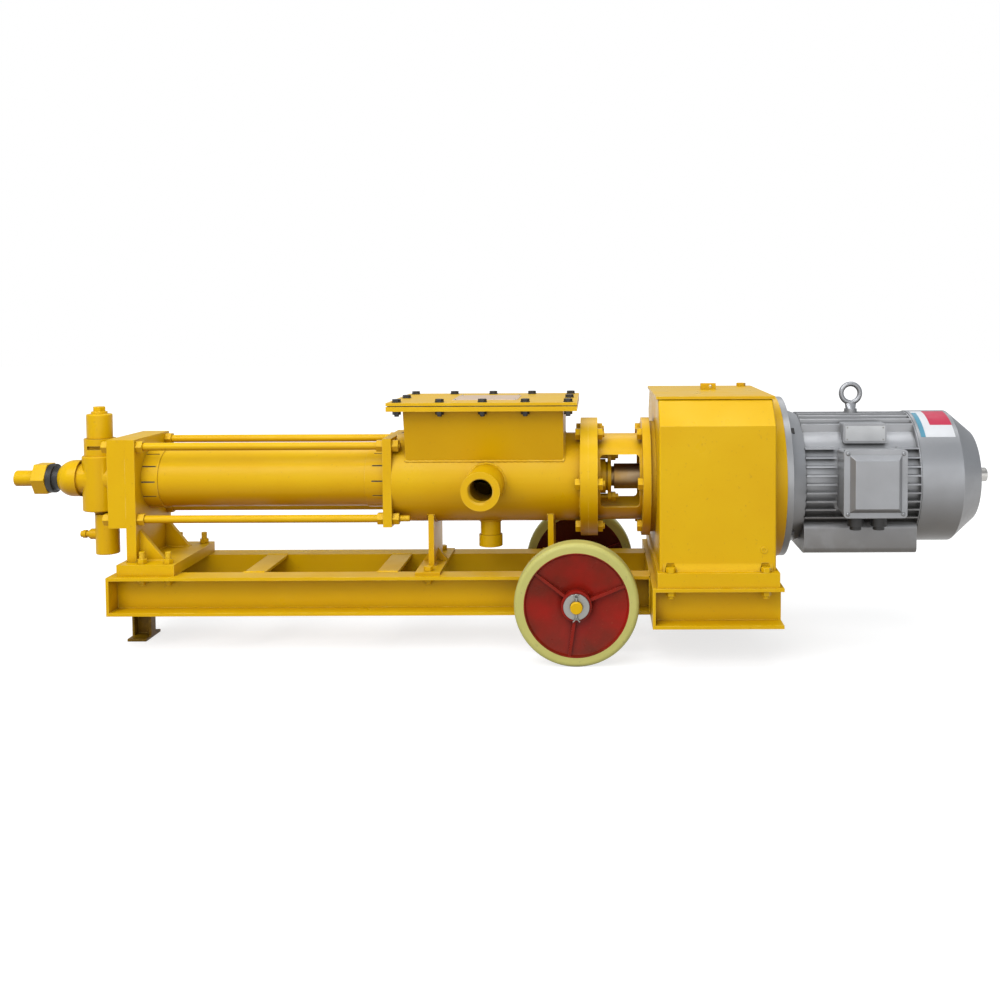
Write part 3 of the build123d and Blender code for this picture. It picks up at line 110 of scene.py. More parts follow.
# ---- Materials ----
class Finish:
    """One procedural material, built up from small steps."""

    def __init__(self, name, colour, roughness, metallic=0.0):
        self.material = bpy.data.materials.new(name)
        self.material.use_nodes = True
        self.tree = self.material.node_tree
        self.shader = self.tree.nodes["Principled BSDF"]
        self.base = colour
        self.colour = None
        self.shader.inputs["Metallic"].default_value = metallic
        self.shader.inputs["Roughness"].default_value = roughness
        self.shader.inputs["Base Color"].default_value = (*colour, 1.0)

    def noise(self, scale, detail=4.0, stretch=(1.0, 1.0, 1.0)):
        """Noise that stays with the piece, between 0 and 1."""
        place = self.tree.nodes.new("ShaderNodeTexCoord")
        mapping = self.tree.nodes.new("ShaderNodeMapping")
        texture = self.tree.nodes.new("ShaderNodeTexNoise")
        mapping.inputs["Scale"].default_value = stretch
        texture.inputs["Scale"].default_value = scale
        texture.inputs["Detail"].default_value = detail
        self.tree.links.new(place.outputs["Object"], mapping.inputs["Vector"])
        self.tree.links.new(mapping.outputs["Vector"], texture.inputs["Vector"])
        return texture.outputs["Fac"]

    def between(self, value, low, high, start=0.0, end=1.0):
        """value from low to high, moved to the range start to end."""
        node = self.tree.nodes.new("ShaderNodeMapRange")
        for key, number in (("From Min", low), ("From Max", high), ("To Min", start), ("To Max", end)):
            node.inputs[key].default_value = number
        self.tree.links.new(value, node.inputs["Value"])
        return node.outputs["Result"]

    def times(self, first, second):
        """Product of two masks."""
        node = self.tree.nodes.new("ShaderNodeMath")
        node.operation = "MULTIPLY"
        self.tree.links.new(first, node.inputs[0])
        self.tree.links.new(second, node.inputs[1])
        return node.outputs[0]

    def tint(self, mask, colour):
        """Shows colour where mask is 1."""
        node = self.tree.nodes.new("ShaderNodeMix")
        node.data_type = "RGBA"
        self.tree.links.new(mask, node.inputs["Factor"])
        if self.colour is None:
            node.inputs["A"].default_value = (*self.base, 1.0)
        else:
            self.tree.links.new(self.colour, node.inputs["A"])
        node.inputs["B"].default_value = (*colour, 1.0)
        self.colour = node.outputs["Result"]
        self.tree.links.new(self.colour, self.shader.inputs["Base Color"])

    def cloud(self, colour, scale, strength):
        """Slow change of colour over the surface."""
        self.tint(self.between(self.noise(scale), 0.35, 0.7, 0.0, strength), colour)

    def coordinate(self, kind, axis):
        """One component of the Object or Normal coordinates, in the frame of the model at rest."""
        place = self.tree.nodes.new("ShaderNodeTexCoord")
        split = self.tree.nodes.new("ShaderNodeSeparateXYZ")
        self.tree.links.new(place.outputs[kind], split.inputs[0])
        return split.outputs[axis]

    def painted_underside_shade(self, colour, strength, start=0.15, end=-0.9):
        """Painted shade on the faces that look down."""
        self.tint(self.between(self.coordinate("Normal", "Z"), start, end, 0.0, strength), colour)

    def painted_inner_side_shade(self, colour, direction, strength):
        """Painted shade on the side of a wheel that faces the chassis."""
        facing = self.coordinate("Normal", "Y")
        self.tint(self.between(facing, 0.2 * direction, 0.6 * direction, 0.0, strength), colour)

    def painted_shade_below(self, colour, height, fade, strength):
        """Painted shade that comes in below height, over a distance of fade, in uneven patches."""
        low = self.between(self.coordinate("Object", "Z"), height, height - fade, 0.0, strength)
        self.tint(self.times(low, self.between(self.noise(30.0), 0.2, 0.5, 0.7, 1.0)), colour)

    def painted_crevice_shade(self, colour, reach, strength):
        """Painted shade where surfaces meet, from ambient occlusion."""
        node = self.tree.nodes.new("ShaderNodeAmbientOcclusion")
        node.samples = 6
        node.inputs["Distance"].default_value = reach
        self.tint(self.between(node.outputs["AO"], 0.75, 0.2, 0.0, strength), colour)

    def worn_edges(self, colour, width, strength):
        """Paint rubbed thin along the edges, in patches."""
        rounded = self.tree.nodes.new("ShaderNodeBevel")
        rounded.samples = 4
        rounded.inputs["Radius"].default_value = width
        flat = self.tree.nodes.new("ShaderNodeNewGeometry")
        turn = self.tree.nodes.new("ShaderNodeVectorMath")
        turn.operation = "DOT_PRODUCT"
        self.tree.links.new(rounded.outputs["Normal"], turn.inputs[0])
        self.tree.links.new(flat.outputs["Normal"], turn.inputs[1])
        edge = self.between(turn.outputs["Value"], 0.995, 0.9, 0.0, strength)
        self.tint(self.times(edge, self.between(self.noise(38.0), 0.42, 0.62)), colour)

    def speckle(self, colour, scale, strength):
        """Small spots of dust or chipped paint."""
        self.tint(self.between(self.noise(scale, 2.0), 0.68, 0.74, 0.0, strength), colour)

    def gloss_range(self, low, high, scale, stretch=(1.0, 1.0, 1.0)):
        """Roughness that wanders between low and high."""
        value = self.between(self.noise(scale, 5.0, stretch), 0.3, 0.7, low, high)
        self.tree.links.new(value, self.shader.inputs["Roughness"])

    def grain(self, scale, strength, depth, stretch=(1.0, 1.0, 1.0)):
        """Fine relief of the surface."""
        bump = self.tree.nodes.new("ShaderNodeBump")
        bump.inputs["Strength"].default_value = strength
        bump.inputs["Distance"].default_value = depth
        self.tree.links.new(self.noise(scale, 6.0, stretch), bump.inputs["Height"])
        self.tree.links.new(bump.outputs["Normal"], self.shader.inputs["Normal"])


def yellow_enamel(name):
    """Thick yellow paint, with painted shade: more orange underneath, darker in crevices and dark brown
    near the floor.
    """
    finish = Finish(name, (0.66, 0.405, 0.0010), roughness=0.36)
    finish.shader.inputs["Specular IOR Level"].default_value = 0.16
    finish.cloud((0.59, 0.315, 0.001), scale=6.0, strength=0.45)
    # Painted shade on the faces that look down, in crevices and low down
    finish.painted_underside_shade((0.36, 0.13, 0.001), strength=0.75)
    finish.painted_crevice_shade((0.16, 0.055, 0.001), reach=0.030, strength=0.75)
    finish.painted_shade_below((0.060, 0.026, 0.002), height=0.082, fade=0.012, strength=0.85)
    finish.speckle((0.38, 0.20, 0.02), scale=160.0, strength=0.35)
    finish.worn_edges((0.86, 0.66, 0.16), width=0.0016, strength=0.5)
    finish.gloss_range(low=0.27, high=0.45, scale=12.0)
    finish.grain(scale=420.0, strength=0.10, depth=0.0006)
    return finish.material


def motor_enamel(name, metallic):
    """Silver-grey paint of the motor, with painted shade low down, on the faces that look down and between
    the fins.
    """
    finish = Finish(name, (0.32, 0.328, 0.345), 0.38, metallic)
    finish.shader.inputs["Coat Weight"].default_value = 0.3
    finish.shader.inputs["Coat Roughness"].default_value = 0.25
    finish.cloud((0.25, 0.253, 0.258), scale=9.0, strength=0.5)
    # Painted shade on the faces that look down, low on the motor and between the fins
    finish.painted_underside_shade((0.075, 0.064, 0.050), strength=0.85, start=0.25, end=-0.75)
    finish.painted_shade_below((0.085, 0.074, 0.060), height=0.330, fade=0.130, strength=0.75)
    finish.painted_crevice_shade((0.07, 0.068, 0.062), reach=0.014, strength=0.75)
    finish.speckle((0.20, 0.19, 0.17), scale=260.0, strength=0.12)
    finish.worn_edges((0.58, 0.59, 0.60), width=0.0012, strength=0.5)
    finish.gloss_range(low=0.34, high=0.46, scale=18.0)
    finish.grain(scale=520.0, strength=0.14, depth=0.0005)
    return finish.material


def dark_metal(name, colour, roughness):
    """Blackened bolts and fittings, rubbed lighter along their edges."""
    finish = Finish(name, colour, roughness, metallic=0.3)
    finish.cloud((0.035, 0.034, 0.033), scale=40.0, strength=0.6)
    finish.worn_edges((0.16, 0.155, 0.15), width=0.0010, strength=0.6)
    finish.gloss_range(low=roughness - 0.1, high=roughness + 0.12, scale=60.0)
    finish.grain(scale=700.0, strength=0.15, depth=0.0004)
    return finish.material


def machined_steel(name, colour, roughness):
    """Bare steel with faint streaks along X and painted shade in its crevices."""
    finish = Finish(name, colour, roughness, metallic=1.0)
    finish.cloud((0.30, 0.29, 0.27), scale=25.0, strength=0.45)
    # Painted shade in the crevices
    finish.painted_crevice_shade((0.08, 0.07, 0.06), reach=0.008, strength=0.6)
    finish.gloss_range(low=roughness - 0.08, high=roughness + 0.14, scale=30.0, stretch=(0.2, 1.0, 1.0))
    finish.grain(scale=260.0, strength=0.12, depth=0.0003, stretch=(0.1, 1.0, 1.0))
    return finish.material


def red_casting(name, inner_side):
    """Red paint of a wheel centre, with painted shade in its crevices and on its side towards the chassis;
    inner_side is the sign of Y on that side.
    """
    finish = Finish(name, (0.27, 0.009, 0.004), roughness=0.36)
    finish.shader.inputs["Specular IOR Level"].default_value = 0.14
    finish.cloud((0.10, 0.014, 0.005), scale=11.0, strength=0.95)
    # Painted shade on the side towards the chassis and in the crevices
    finish.painted_inner_side_shade((0.055, 0.012, 0.006), direction=inner_side, strength=0.9)
    finish.painted_crevice_shade((0.045, 0.004, 0.003), reach=0.018, strength=0.75)
    finish.speckle((0.30, 0.08, 0.04), scale=240.0, strength=0.3)
    finish.worn_edges((0.46, 0.04, 0.03), width=0.0012, strength=0.6)
    finish.gloss_range(low=0.25, high=0.46, scale=26.0)
    finish.grain(scale=180.0, strength=0.22, depth=0.0009)
    return finish.material


def cream_tyre():
    """Solid cream tyre, a little soiled, with painted shade in its crevices."""
    finish = Finish("tyre_cream", (0.46, 0.43, 0.125), roughness=0.5)
    finish.shader.inputs["Specular IOR Level"].default_value = 0.3
    finish.cloud((0.38, 0.37, 0.10), scale=14.0, strength=0.6)
    # Painted shade in the crevices
    finish.painted_crevice_shade((0.16, 0.14, 0.06), reach=0.012, strength=0.6)
    finish.speckle((0.20, 0.18, 0.10), scale=130.0, strength=0.35)
    finish.gloss_range(low=0.38, high=0.62, scale=20.0)
    finish.grain(scale=240.0, strength=0.15, depth=0.0006)
    return finish.material


def rubber(name, colour):
    """Matt rubber, cord or plastic."""
    finish = Finish(name, colour, roughness=0.62)
    finish.cloud((0.05, 0.05, 0.048), scale=30.0, strength=0.5)
    finish.gloss_range(low=0.52, high=0.75, scale=45.0)
    finish.grain(scale=600.0, strength=0.2, depth=0.0004)
    return finish.material


def darker(colour, share):
    """The same colour with share of its light."""
    return tuple(share * part for part in colour)


def bare_plate(name, colour, metallic):
    """Thin plate brushed along X, with nothing on it."""
    finish = Finish(name, colour, 0.36, metallic)
    finish.cloud(darker(colour, 0.78), scale=30.0, strength=0.5)
    finish.gloss_range(low=0.28, high=0.46, scale=40.0, stretch=(0.1, 1.0, 1.0))
    finish.grain(scale=500.0, strength=0.1, depth=0.0002, stretch=(0.05, 1.0, 1.0))
    return finish.material


def plain_sticker(name, colour):
    """Glossy film in one colour."""
    finish = Finish(name, colour, roughness=0.42)
    finish.cloud(darker(colour, 0.86), scale=35.0, strength=0.5)
    finish.gloss_range(low=0.34, high=0.5, scale=50.0)
    finish.grain(scale=300.0, strength=0.06, depth=0.0002)
    return finish.material


finishes = {
    "yellow_paint": yellow_enamel("yellow_paint"),
    "gearbox_paint": yellow_enamel("gearbox_paint"),
    "motor_paint": motor_enamel("motor_paint", metallic=0.5),
    "motor_sheet": motor_enamel("motor_sheet", metallic=0.6),
    "black_steel": dark_metal("black_steel", (0.014, 0.014, 0.015), roughness=0.42),
    "dark_fitting": dark_metal("dark_fitting", (0.022, 0.021, 0.020), roughness=0.48),
    "bare_steel": machined_steel("bare_steel", (0.50, 0.49, 0.47), roughness=0.32),
    "rotor_chrome": machined_steel("rotor_chrome", (0.68, 0.69, 0.70), roughness=0.14),
    "stator_core": machined_steel("stator_core", (0.24, 0.17, 0.12), roughness=0.5),
    "zinc_steel": machined_steel("zinc_steel", (0.27, 0.27, 0.25), roughness=0.40),
    "black_rubber": rubber("black_rubber", (0.018, 0.018, 0.018)),
    "packing_cord": rubber("packing_cord", (0.16, 0.14, 0.11)),
    "fan_plastic": rubber("fan_plastic", (0.022, 0.022, 0.024)),
    "wheel_red": red_casting("wheel_red", inner_side=1),
    "tyre_cream": cream_tyre(),
    "label_plate": bare_plate("label_plate", (0.40, 0.405, 0.41), metallic=0.6),
}
# The far wheel's painted shade is on its side towards -Y, the chassis
far_wheel_red = red_casting("wheel_red_far", inner_side=-1)
lid_plate_metal = bare_plate("lid_plate_metal", (0.60, 0.43, 0.28), metallic=0.2)
# Brown steel for the drive shaft: a painted reflection of the yellow parts round it
shaft_painted_yellow_reflection = machined_steel("shaft_painted_yellow_reflection", (0.34, 0.21, 0.07), roughness=0.42)

for subpart in frame["record"]["subparts"]:
    node = nodes[subpart["node"]]
    for material_slot in node.material_slots:
        material_slot.material = finishes[subpart["material_slot"]]


def refinish(name, material):
    """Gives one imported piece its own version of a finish."""
    for material_slot in nodes[name].material_slots:
        material_slot.material = material


refinish("wheel_centre_far", far_wheel_red)
refinish("lantern_bolts", finishes["yellow_paint"])
# The drive shaft gets brown steel as a painted reflection of the yellow paint round it
refinish("drive_shaft", shaft_painted_yellow_reflection)


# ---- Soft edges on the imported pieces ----
def round_edges(piece, width):
    """Narrow bevel along the sharp edges of a piece."""
    bevel = piece.modifiers.new("bevel", "BEVEL")
    bevel.width = width
    bevel.segments = 2
    bevel.limit_method = "ANGLE"
    bevel.angle_limit = sharp_angle


smooth_already = {
    "rotor", "stator_liner", "tyre_near", "tyre_far", "lifting_eye", "output_gear", "layshaft",
    "layshaft_gear", "motor_rotor", "cooling_fan", "fan_cover", "motor_stator", "coupling_rod",
}
usual_edge = 0.0009
edge_radius = {
    "gearbox_housing": 0.0016, "gearbox_lid": 0.0012, "motor_frame": 0.0006, "hopper_lid": 0.0012,
}
for name, node in nodes.items():
    if name in smooth_already:
        continue
    weld = node.modifiers.new("weld", "WELD")
    weld.merge_threshold = 0.00001
    # Joins the flat faces' triangles, which would show under the bevel
    flat = node.modifiers.new("flat", "DECIMATE")
    flat.decimate_type = "DISSOLVE"
    flat.angle_limit = radians(0.5)
    round_edges(node, edge_radius.get(name, usual_edge))
    normals = node.modifiers.new("normals", "WEIGHTED_NORMAL")
    normals.mode = "FACE_AREA"
    normals.weight = 50


# ---- Shapes ----
def circle(count):
    """Cosine and sine of count angles, evenly spaced once round."""
    return [(cos(2 * pi * k / count), sin(2 * pi * k / count)) for k in range(count)]


def ring_round(origin, axis, along, radii):
    """Ring round an axis, at a distance along it, where each point has its own radius."""
    turn = Vector(upward).rotation_difference(Vector(axis))
    return [
        Vector(origin) + turn @ Vector((radius * across, radius * rise, along))
        for radius, (across, rise) in zip(radii, circle(len(radii)))
    ]


class Shape:
    """A mesh made of several closed forms that belong to one piece."""

    def __init__(self):
        self.vertices = []
        self.faces = []

    def grid(self, rings, closed=False):
        """Joins rings of equally many points; open runs are capped at both ends."""
        start = len(self.vertices)
        around = len(rings[0])
        for ring in rings:
            self.vertices.extend(ring)
        rows = len(rings) if closed else len(rings) - 1
        for row in range(rows):
            here = start + row * around
            there = start + (row + 1) % len(rings) * around
            for k in range(around):
                turn = (k + 1) % around
                self.faces.append((here + k, here + turn, there + turn, there + k))
        if not closed:
            self.faces.append(tuple(start + k for k in reversed(range(around))))
            last = start + rows * around
            self.faces.append(tuple(last + k for k in range(around)))

    def bead(self, path, radius, closed=False, ripple=0.16, sides=8):
        """Round bead along a path, scalloped as a weld is."""
        points = [Vector(point) for point in path]
        count = len(points)
        side = None
        rings = []
        for index, point in enumerate(points):
            before = points[index - 1] if closed or index else point
            after = points[(index + 1) % count] if closed or index < count - 1 else point
            along = (after - before).normalized()
            side = along.orthogonal() if side is None else side - along * side.dot(along)
            side.normalize()
            across = along.cross(side)
            thick = radius * (1 + ripple * sin(index * pi / 2))
            rings.append([point + side * thick * c + across * thick * s for c, s in circle(sides)])
        self.grid(rings, closed)

    def turned(self, profile, origin, axis, segments=28):
        """Solid of revolution through (distance along the axis, radius) pairs."""
        self.grid([ring_round(origin, axis, along, [radius] * segments) for along, radius in profile])

    def block(self, low, high):
        """Box between two corners."""
        corners = ((low[0], low[1]), (high[0], low[1]), (high[0], high[1]), (low[0], high[1]))
        self.grid([[Vector((x, y, z)) for x, y in corners] for z in (low[2], high[2])])

    def radial_bar(self, start, end, degrees, half_width, inner, outer):
        """Bar along the pump axis that stands between two radii, at an angle from the top."""
        out = Vector((0, -sin(radians(degrees)), cos(radians(degrees))))
        across = Vector((0, cos(radians(degrees)), sin(radians(degrees))))
        corners = ((inner, -1), (outer, -1), (outer, 1), (inner, 1))
        self.grid([
            [Vector((x, 0, axis_z)) + out * radius + across * side * half_width for radius, side in corners]
            for x in (start, end)
        ])

    def thread(self, origin, axis, length, core, crest, pitch, around=20):
        """Closed sleeve, plain on its core side and with a helical thread on the other."""
        root = crest + (core - crest) * 0.6
        rows = ceil(length / pitch * 4)
        rings = []
        for row in range(rows + 1):
            along = length * row / rows
            heights = [abs(2 * ((along / pitch - k / around) % 1.0) - 1) for k in range(around)]
            radii = [root + (crest - root) * height for height in heights]
            rings.append(ring_round(origin, axis, along, radii))
        for along in (length, 0.0):
            rings.append(ring_round(origin, axis, along, [core] * around))
        self.grid(rings, closed=True)

    def place(self, name, slot_name, material=None, soften=0.0, smooth=True):
        """Makes the piece on the frame body, with its slot's finish or one of its own."""
        mesh = bpy.data.meshes.new(name)
        mesh.from_pydata([tuple(point) for point in self.vertices], [], self.faces)
        work = bmesh.new()
        work.from_mesh(mesh)
        bmesh.ops.recalc_face_normals(work, faces=work.faces)
        for face in work.faces:
            face.smooth = smooth
        for edge in work.edges:
            edge.smooth = len(edge.link_faces) == 2 and edge.calc_face_angle(0) < smooth_angle
        work.to_mesh(mesh)
        work.free()
        mesh.materials.append(material or finishes[slot_name])
        piece = bpy.data.objects.new(name, mesh)
        bpy.context.scene.collection.objects.link(piece)
        if soften:
            round_edges(piece, soften)
        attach(piece, "frame")


def run(start, end, step=0.0035):
    """Points from start to end, about a step apart."""
    start, end = Vector(start), Vector(end)
    count = max(2, ceil((end - start).length / step))
    return [start.lerp(end, index / count) for index in range(count + 1)]


def ring_path(x, radius, count=150):
    """Circle round the pump axis."""
    return [(x, radius * across, axis_z + radius * rise) for across, rise in circle(count)]


def inwards(span, inset):
    """Both ends of a span, moved towards each other."""
    return span[0] + inset, span[1] - inset


def housing_wall(offset):
    """Distance from the pump axis to the round wall of the housing, offset from the middle."""
    return sqrt(housing_radius ** 2 - offset ** 2)


def housing_arc(x, half_width, side, half_steps):
    """Arc on the housing's round wall, over it where side is 1 and under it where side is -1."""
    widest = asin(half_width / housing_radius)
    arc = []
    for step in range(2 * half_steps + 1):
        angle = widest * (step / half_steps - 1)
        arc.append((x, housing_radius * sin(angle), axis_z + side * housing_radius * cos(angle)))
    return arc


# ---- Weld beads ----
def chassis_welds():
    """Beads where the cross channels, base channels and leg meet the long rails."""
    shape = Shape()
    cross_low, cross_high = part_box("cross_channels")
    top = rail_high.z
    end = rail_high.x
    for left in cross_channel_lefts:
        for y in (cross_low.y, cross_high.y):
            shape.bead(run((left, y, top), (left + cross_channel_width, y, top)), radius=0.0022)
    for outer, inner in ((rail_low.y, rail_high.y), (far_rail_high.y, far_rail_low.y)):
        shape.bead(run((end, outer, top - 0.001), (end, inner, top - 0.001)), radius=0.0024)
        shape.bead(run((end, outer, rail_low.z + 0.003), (end, outer, top - 0.003)), radius=0.0024)
    corners = (
        (leg_low.x, -leg_half_width), (leg_high.x, -leg_half_width),
        (leg_high.x, leg_half_width), (leg_low.x, leg_half_width),
    )
    for (x0, y0), (x1, y1) in zip(corners, corners[1:] + corners[:1]):
        shape.bead(run((x0, y0, leg_high.z), (x1, y1, leg_high.z)), radius=0.0020)
    shape.place("chassis_welds", "yellow_paint")


def housing_welds():
    """Beads round the suction port, the drain, the hopper's foot, the flange and the stands."""
    shape = Shape()
    port = []
    drain = []
    for across, rise in circle(84):
        z = port_radius * rise
        port.append((port_x + port_radius * across, -housing_wall(z), axis_z + z))
        y = drain_radius * rise
        drain.append((port_x + drain_radius * across, y, axis_z - housing_wall(y)))
    shape.bead(port, radius=0.0034, closed=True)
    shape.bead(drain, radius=0.0028, closed=True)
    left = lid_low.x + hopper_margin
    right = lid_high.x - hopper_margin
    foot_z = axis_z + housing_wall(neck_half_width)
    for y in (-neck_half_width, neck_half_width):
        shape.bead(run((left, y, foot_z), (right, y, foot_z)), radius=0.0030)
    for x in (left, right):
        shape.bead(housing_arc(x, neck_half_width, side=1, half_steps=30), radius=0.0030)
    shape.bead(ring_path(flange_left, housing_radius + 0.0006), radius=0.0030, closed=True)
    foot = rail_high.z + stand_foot
    for middle in stand_middles:
        for x in (middle - stand_thickness / 2, middle + stand_thickness / 2):
            shape.bead(housing_arc(x, stand_half_width, side=-1, half_steps=22), radius=0.0024)
            shape.bead(run((x, -stand_half_width, foot), (x, stand_half_width, foot)), radius=0.0022)
    shape.place("housing_welds", "yellow_paint")


def support_welds():
    """Beads at the foot of the discharge end's support plate and its gussets."""
    shape = Shape()
    for x in (support_low.x, support_low.x + support_thickness):
        shape.bead(run((x, support_low.y, base_top), (x, support_high.y, base_top)), radius=0.0026)
    gusset_start = support_low.x + 0.024
    for y in gusset_faces:
        shape.bead(run((gusset_start, y, base_top), (support_high.x, y, base_top)), radius=0.0022)
    shape.place("support_welds", "yellow_paint")


# ---- Threads and fasteners ----
def stud_threads():
    """Threads on the free ends of the base studs and of the lower tie rods."""
    shape = Shape()
    for x in stud_columns:
        for y in stud_rows:
            start = (x, y, base_top + 0.010)
            crest = stud_radius + 0.0004
            shape.thread(start, upward, length=0.0145, core=0.005, crest=crest, pitch=0.00175)
    for y in (-tie_rod_offset, tie_rod_offset):
        start = (rods_right - 0.022, y, axis_z - tie_rod_offset)
        crest = tie_rod_tail_radius + 0.0006
        shape.thread(start, (1, 0, 0), length=0.0215, core=0.0055, crest=crest, pitch=0.0020)
    shape.place("stud_threads", "yellow_paint")


def port_thread():
    """Pipe thread inside the mouth of the suction port."""
    shape = Shape()
    mouth = (port_x, housing_near + 0.0015, axis_z)
    core = port_bore + 0.0008
    crest = port_bore - 0.0022
    shape.thread(mouth, (0, 1, 0), length=0.034, core=core, crest=crest, pitch=0.0023, around=48)
    shape.place("port_thread", "yellow_paint")


def screw(shape, origin, axis, radius):
    """Pan-head screw with a socket in its head."""
    profile = (
        (-0.0010, radius * 0.98), (0.0004, radius), (radius * 0.35, radius * 0.94),
        (radius * 0.62, radius * 0.66), (radius * 0.68, radius * 0.42),
        (radius * 0.30, radius * 0.36), (radius * 0.28, radius * 0.02),
    )
    shape.turned(profile, origin, axis, segments=20)


def terminal_lid_screws():
    """Four screws in the corners of the terminal box's lid."""
    shape = Shape()
    inset = 0.0085
    seat_y = box_low.y - 0.0060
    for x in inwards((box_lid_low.x, box_lid_high.x), inset):
        for z in inwards((box_lid_low.z, box_lid_high.z), inset):
            screw(shape, (x, seat_y, z), towards_viewer, radius=0.0042)
    shape.place("terminal_lid_screws", "motor_sheet")


def fan_cover_screws():
    """Screws that hold the fan cover, near its left edge, at angles from the top."""
    shape = Shape()
    for angle in (38, 142, 218, 322):
        out = Vector((0, -sin(radians(angle)), cos(radians(angle))))
        seat = Vector((cover_low.x + 0.010, 0, axis_z)) + out * cover_radius
        screw(shape, seat - out * 0.0030, out, radius=0.0040)
    shape.place("fan_cover_screws", "black_steel")


def shield_slots():
    """Painted shade: dark bars in the slots of the rim of the motor's left shield, at angles from the top.
    """
    shape = Shape()
    left = shield_left + 0.020
    right = shield_left + 0.027
    for angle in (42, 138, 222, 318):
        shape.radial_bar(left, right, angle, half_width=0.0070, inner=0.136, outer=0.1481)
    shape.place("shield_slots", "dark_fitting", smooth=False)


def lid_washers():
    """Washers under the heads of the hopper lid's bolts."""
    shape = Shape()
    profile = ((-0.0005, 0.0102), (0.0012, 0.0102), (0.0016, 0.0098), (0.0016, 0.0050))
    middle_x = (lid_low.x + lid_high.x) / 2
    for row in (-1, 0, 1):
        for column in (-2, -1, 0, 1, 2):
            if row or abs(column) == 2:
                seat = (middle_x + column * lid_bolt_spacing, row * lid_bolt_row, lid_high.z)
                shape.turned(profile, seat, upward)
    shape.place("lid_washers", "black_steel")


def cotter_ends():
    """Eyes and opened legs of the cotter pins at the axle's ends."""
    pin_low, pin_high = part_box("axle_fittings")
    pin_x = wheel_left + axle_inset
    for name, side in (("cotter_near", -1), ("cotter_far", 1)):
        shape = Shape()
        y = side * (max(pin_high.y, -pin_low.y) - 0.0025)
        for lean in (-1, 1):
            leg = []
            for t in (0.0, 0.25, 0.5, 0.75, 1.0):
                leg.append((pin_x + lean * (0.0010 + 0.0060 * t * t), y, pin_tail_z - 0.010 * t))
            shape.bead(leg, radius=0.0014, ripple=0.0)
        eye = [(pin_x + 0.0038 * across, y, pin_eye_z + 0.0042 * rise) for across, rise in circle(20)]
        shape.bead(eye, radius=0.0013, closed=True, ripple=0.0)
        shape.place(name, "zinc_steel")


def gearbox_plug():
    """Level plug low on the near side of the gearbox."""
    shape = Shape()
    seat = (0.549, gearbox_near + 0.018, 0.238)
    profile = (
        (-0.001, 0.0072), (0.0012, 0.0072), (0.0018, 0.0066),
        (0.0018, 0.0036), (0.0004, 0.0033), (0.0004, 0.0003),
    )
    shape.turned(profile, seat, towards_viewer)
    shape.place("gearbox_plug", "gearbox_paint")


# ---- Bare plates and the sticker ----
def lid_plate():
    """Plate on the hopper lid, without any marking."""
    shape = Shape()
    low = (lid_plate_x[0], lid_plate_y[0], lid_high.z - 0.0002)
    high = (lid_plate_x[1], lid_plate_y[1], lid_high.z + 0.0009)
    shape.block(low, high)
    shape.place("lid_plate", "label_plate", lid_plate_metal, soften=0.0003, smooth=False)


def motor_plate():
    """Nameplate of the motor, without any marking."""
    shape = Shape()
    low = (motor_plate_x[0], motor_flat_y - 0.0011, motor_plate_z[0])
    high = (motor_plate_x[1], motor_flat_y + 0.0002, motor_plate_z[1])
    shape.block(low, high)
    shape.place("motor_plate", "label_plate", soften=0.0003, smooth=False)


def plate_rivets():
    """Rivets in the corners of both plates."""
    shape = Shape()
    lid_rivet = ((0.0, 0.0024), (0.0012, 0.0020), (0.0017, 0.0004))
    motor_rivet = ((0.0, 0.0018), (0.0010, 0.0015), (0.0014, 0.0003))
    for x in inwards(lid_plate_x, 0.006):
        for y in inwards(lid_plate_y, 0.006):
            shape.turned(lid_rivet, (x, y, lid_high.z + 0.0008), upward, segments=14)
    for x in inwards(motor_plate_x, 0.004):
        for z in inwards(motor_plate_z, 0.004):
            shape.turned(motor_rivet, (x, motor_flat_y - 0.0010, z), towards_viewer, segments=14)
    shape.place("plate_rivets", "zinc_steel")


def sticker_patch(name, sides, angles, lift, material):
    """Thin patch that follows the fan cover's round wall, between two angles from the top."""
    shape = Shape()
    steps = 16
    low, high = angles
    turns = [radians(low + (high - low) * step / steps) for step in range(steps + 1)]
    inner = cover_radius - 0.0002
    outer = cover_radius + lift
    rings = []
    for x in sides:
        ring = [Vector((x, -outer * sin(turn), axis_z + outer * cos(turn))) for turn in turns]
        ring += [Vector((x, -inner * sin(turn), axis_z + inner * cos(turn))) for turn in reversed(turns)]
        rings.append(ring)
    shape.grid(rings)
    shape.place(name, "label_plate", material)


def cover_sticker():
    """Plain sticker in three blocks of colour, with nothing printed on it."""
    left, right = 0.899, 0.972
    top, bottom = 6, 48
    white = plain_sticker("sticker_white", (0.60, 0.61, 0.63))
    sticker_patch("cover_sticker_white", (left, right), (top, bottom), 0.00030, white)
    red = plain_sticker("sticker_red", (0.46, 0.008, 0.05))
    sticker_patch("cover_sticker_red", (0.925, right), (top, 34), 0.00055, red)
    blue = plain_sticker("sticker_blue", (0.06, 0.24, 0.34))
    sticker_patch("cover_sticker_blue", (left, 0.909), (12, bottom), 0.00055, blue)


def stator_slots():
    """Rubber of the liner, seen through the slots at both ends of the stator tube."""
    shape = Shape()
    slots = 12
    length = 0.029
    for start in (tube_low.x + 0.0005, tube_high.x - 0.0295):
        for slot in range(slots):
            angle = 360 * slot / slots
            shape.radial_bar(start, start + length, angle, half_width=0.0014, inner=0.0560, outer=0.0642)
    shape.place("stator_slots", "black_rubber", smooth=False)


